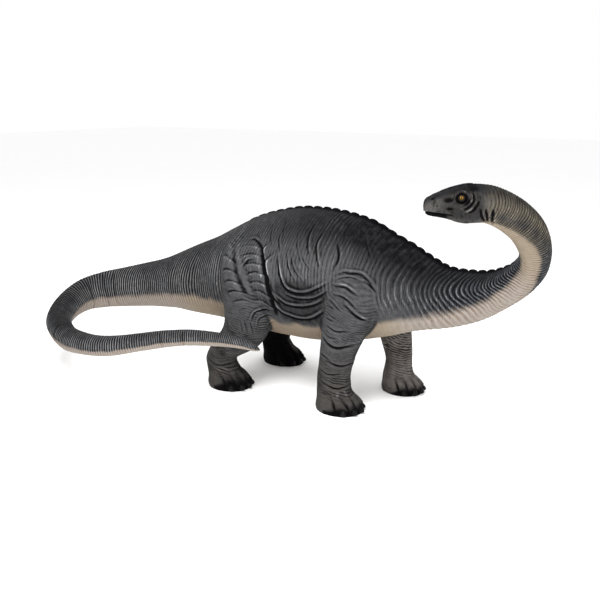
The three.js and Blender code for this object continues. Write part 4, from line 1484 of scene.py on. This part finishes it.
def claw_mesh(name, centre, out, seed):
    """A blunt nail that points along out and sits in the skin at centre."""
    half_depth, half_width, half_height = CLAW_HALF
    across = np.array([-out[1], out[0], 0])
    turns = np.arange(CLAW_AROUND) / CLAW_AROUND * math.tau
    rings = []
    edge = []
    for lean in np.linspace(0, math.pi, CLAW_ROWS + 1)[1:-1]:
        ahead = math.cos(lean)
        wide = math.sin(lean)
        tip = smoothstep(0.0, 1.0, ahead)
        ridge = 1 - 0.035 * (1 - np.abs(np.sin(turns * RIBS / 2 + seed))) * wide
        sideways = np.cos(turns) * wide * ridge * (1 - 0.20 * tip)
        upward = np.sin(turns) * wide * ridge * (1 - 0.16 * tip) - 0.22 * tip
        cut = np.maximum(upward, -0.97)
        rings.append(centre + out * ahead * half_depth + across * sideways[:, None] * half_width
                     + UPWARDS * cut[:, None] * half_height)
        at_tip = smoothstep(0.35, 0.95, np.full(CLAW_AROUND, ahead))
        edge.append(at_tip * smoothstep(0.4, -0.6, upward))
    front = (centre + out * half_depth - UPWARDS * 0.2 * CLAW["half_height"] * MM)[None]
    back = (centre - out * half_depth)[None]
    points, faces = tube_mesh(rings, [CLAW_AROUND] * len(rings), front, back)
    made = make_object(name, points, [face[::-1] for face in faces])
    keep(made.data, "wear", np.concatenate(edge + [[1, 0]]))
    shade_smooth(made.data)
    return made


claw_paint, tree, shader = new_material("painted claw")
position = add_node(tree, "ShaderNodeTexCoord", output="Object")
blotches = use_group(tree, mottle, {"Position": position, "Size": 2.0}, "Blotches")
speckle = use_group(tree, mottle, {"Position": position, "Size": 2.0}, "Speckle")
worn = maths(tree, "ADD", stored(tree, "wear"), swing(tree, blotches, 0.8))
horn = use_group(tree, brushed, {
    "Relief": maths(tree, "ADD", maths(tree, "MULTIPLY", worn, 0.5), 0.35), "Speckle": speckle,
    "Clouds": blotches, "Wash": NAIL_WASH, "Base": NAIL_BLACK, "Brush": NAIL_BRUSH,
    "Brush Amount": 0.8}, "Color")
height = use_group(tree, grain, {"Position": position, "Scale Size": 2.4}, "Height")
bump = add_node(tree, "ShaderNodeBump", {"Strength": 0.3, "Distance": 0.001, "Height": height})
set_inputs(tree, shader, {
    "Base Color": horn, "Roughness": ramp(tree, worn, 0.1, 0.9, 0.36, 0.62), "Normal": bump,
    "Specular IOR Level": 0.08, "Coat Weight": 0.01, "Coat Roughness": 0.4})
claw_number = 0
for leg in LEGS:
    for i, degrees in enumerate(CLAW_ANGLES):
        centre, out = claw_centre(leg, degrees)
        node_name = f"claw_{leg['name']}_{i + 1}"
        claw = claw_mesh("nail_" + node_name[5:], centre, out, claw_number)
        claw.data.materials.append(claw_paint)
        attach(claw, "root")
        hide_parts(node_name)
        claw_number += 1
print(claw_number, "claws")

# %% [markdown]
# ## Eyes
# The eyes are painted balls under clear varnish: an amber iris with darker streaks from the middle
# outwards, a dark rim, and an upright slit for a pupil. The ball's own points carry how far they
# are from the line of sight and from the slit, so the paint needs no picture.

# %% Eyes
EYE_AROUND = 72
EYE_ROWS = 60
EYE_SMALLER = 0.3                     # millimetres by which the ball is smaller than its CAD ball
IRIS = 8.4                            # radius of the iris in millimetres
SLIT_HALF = (3.0, 7.4)                # half the width and height of the pupil
BEHIND = {"from_sight": 2.0, "from_slit": 9.0}    # what the back of the ball gets, beyond the rim
AMBER_DARK = rgb(84, 60, 8)
AMBER = rgb(140, 108, 18)
AMBER_OUTER = rgb(104, 74, 16)
AMBER_SPECK = rgb(90, 50, 16)
BALL_BROWN = rgb(34, 26, 20)
BALL_DARK = rgb(22, 18, 16)
PUPIL = rgb(8, 7, 7)

eye_paint, tree, shader = new_material("painted eye")
position = add_node(tree, "ShaderNodeTexCoord", output="Object")
speckle = use_group(tree, mottle, {"Position": position, "Size": 3.0}, "Speckle")
blotches = use_group(tree, mottle, {"Position": position, "Size": 4.0}, "Blotches")
from_sight = stored(tree, "from_sight")
round_sight = add_node(tree, "ShaderNodeCombineXYZ", {
    "X": maths(tree, "MULTIPLY", stored(tree, "turn"), 5.0),
    "Y": maths(tree, "MULTIPLY", from_sight, 1.2)})
streaks = add_node(tree, "ShaderNodeTexNoise", {
    "Scale": 1.0, "Detail": 3.0, "Vector": round_sight})
amber = blend(tree, ramp(tree, streaks, 0.35, 0.7), AMBER_DARK, AMBER)
amber = blend(tree, ramp(tree, from_sight, 0.2, 0.75, 0.0, 0.5), amber, AMBER_OUTER)
amber = blend(tree, ramp(tree, speckle, 0.5, 0.8, 0.0, 0.2), amber, AMBER_SPECK)
rim = ramp(tree, from_sight, 0.82, 1.0)
ball_colour = blend(tree, ramp(tree, blotches, 0.4, 0.7), BALL_BROWN, BALL_DARK)
colour = blend(tree, rim, amber, ball_colour)
pupil = ramp(tree, stored(tree, "from_slit"), 0.75, 1.05, 1.0, 0.0)
colour = blend(tree, pupil, colour, PUPIL)
set_inputs(tree, shader, {
    "Base Color": colour, "Roughness": ramp(tree, speckle, 0.3, 0.7, 0.16, 0.26),
    "Specular IOR Level": 0.05, "Coat Weight": 0.015, "Coat Roughness": 0.1})
for name, side in (("eyeball_right", -1), ("eyeball_left", 1)):
    middle, out = eye_places[side]
    turns = np.arange(EYE_AROUND) / EYE_AROUND * math.tau
    upright = unit(UPWARDS - out * out[2])
    level = np.cross(upright, out)
    rings = []
    numbers = {"from_sight": [], "from_slit": [], "turn": []}
    millimetres = EYE["radius"] - EYE_SMALLER
    ball_radius = millimetres * MM
    for lean in np.linspace(0, math.pi, EYE_ROWS + 1)[1:-1]:
        sideways = np.cos(turns) * math.sin(lean)
        upward = np.sin(turns) * math.sin(lean)
        rings.append(middle + ball_radius * (out * math.cos(lean) + level * sideways[:, None]
                                             + upright * upward[:, None]))
        from_middle = np.full(EYE_AROUND, millimetres * math.sin(lean) / IRIS)
        slit_across = sideways * millimetres / SLIT_HALF[0]
        slit_up = upward * millimetres / SLIT_HALF[1]
        found = {"from_sight": from_middle, "from_slit": slit_across ** 2 + slit_up ** 2}
        for key, value in found.items():
            behind_ball = np.full(EYE_AROUND, BEHIND[key])
            numbers[key].append(value if math.cos(lean) > 0 else behind_ball)
        numbers["turn"].append(np.sin(turns * 3))
    points, faces = tube_mesh(rings, [EYE_AROUND] * len(rings),
                              (middle + out * ball_radius)[None], (middle - out * ball_radius)[None])
    ball = make_object(name, points, faces)
    for key, values in numbers.items():
        keep(ball.data, key, np.concatenate(values + [[0, BEHIND.get(key, 0)]]))
    shade_smooth(ball.data)
    ball.data.materials.append(eye_paint)
    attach(ball, "root")
    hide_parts(name.replace("eyeball", "eye"))
print("two eyes")

# %% [markdown]
# ## The studio
# The statue stands on a plain, pale, endless floor under an even white sky. A wide soft light from
# above and the front does most of the work, one from high up behind lifts the back, and a third
# fills the chest and the neck. The camera is where the photo was taken from, worked out from the
# places of the four feet in the picture.

# %% Floor, lights and camera
FLOOR_SIZE = 60
FLOOR_DUSTY = (0.95, 0.95, 0.95, 1)
FLOOR_CLEAN = (0.98, 0.98, 0.98, 1)
# name, place, aim, size in metres, watts
LIGHTS = [("key", (0.9, -2.6, 4.4), (0.1, 0, 0.6), 2.4, 280),
          ("top", (-0.6, 0.8, 5.0), (0, 0, 0.6), 4.0, 100),
          ("fill", (3.8, -3.0, 1.3), (0.4, 0, 0.5), 1.8, 70)]

floor_paint, tree, shader = new_material("studio floor")
position = add_node(tree, "ShaderNodeTexCoord", output="Object")
dust = use_group(tree, mottle, {"Position": position, "Size": 0.3}, "Clouds")
set_inputs(tree, shader, {
    "Base Color": blend(tree, dust, FLOOR_DUSTY, FLOOR_CLEAN),
    "Roughness": 0.8, "Specular IOR Level": 0.1})
bpy.ops.mesh.primitive_plane_add(size=FLOOR_SIZE, location=(0, 0, 0))
floor = bpy.context.object
floor.name = "studio_floor"
floor.data.materials.append(floor_paint)

world = bpy.data.worlds.new("studio")
bpy.context.scene.world = world
world.use_nodes = True
world.node_tree.nodes["Background"].inputs["Color"].default_value = (1.0, 1.0, 1.0, 1)
world.node_tree.nodes["Background"].inputs["Strength"].default_value = 1.0
bpy.context.scene.view_settings.view_transform = "Standard"


def area_light(name, place, target, size, watts):
    light = bpy.data.lights.new(name, "AREA")
    light.energy = watts
    light.size = size
    made = bpy.data.objects.new(name, light)
    made.location = place
    made.rotation_euler = (Vector(target) - Vector(place)).to_track_quat("-Z", "Y").to_euler()
    bpy.context.scene.collection.objects.link(made)


for light_values in LIGHTS:
    area_light(*light_values)

CAMERA_PLACE = Vector((2.738, -3.834, 1.873))
CAMERA_AZIMUTH = math.radians(33)
CAMERA_TILT = math.radians(15)
CAMERA_LENS = 46.26
camera_data = bpy.data.cameras.new("photo_camera")
camera_data.sensor_width = 36
camera_data.lens = CAMERA_LENS
camera = bpy.data.objects.new("photo_camera", camera_data)
right = Vector((math.cos(CAMERA_AZIMUTH), math.sin(CAMERA_AZIMUTH), 0))
ahead = Vector((-math.sin(CAMERA_AZIMUTH) * math.cos(CAMERA_TILT),
                math.cos(CAMERA_AZIMUTH) * math.cos(CAMERA_TILT), -math.sin(CAMERA_TILT)))
turned = Matrix((right, right.cross(ahead), -ahead)).transposed().to_4x4()
camera.matrix_world = Matrix.Translation(CAMERA_PLACE) @ turned
bpy.context.scene.collection.objects.link(camera)
bpy.context.scene.camera = camera
print("camera at", [round(v, 2) for v in CAMERA_PLACE])
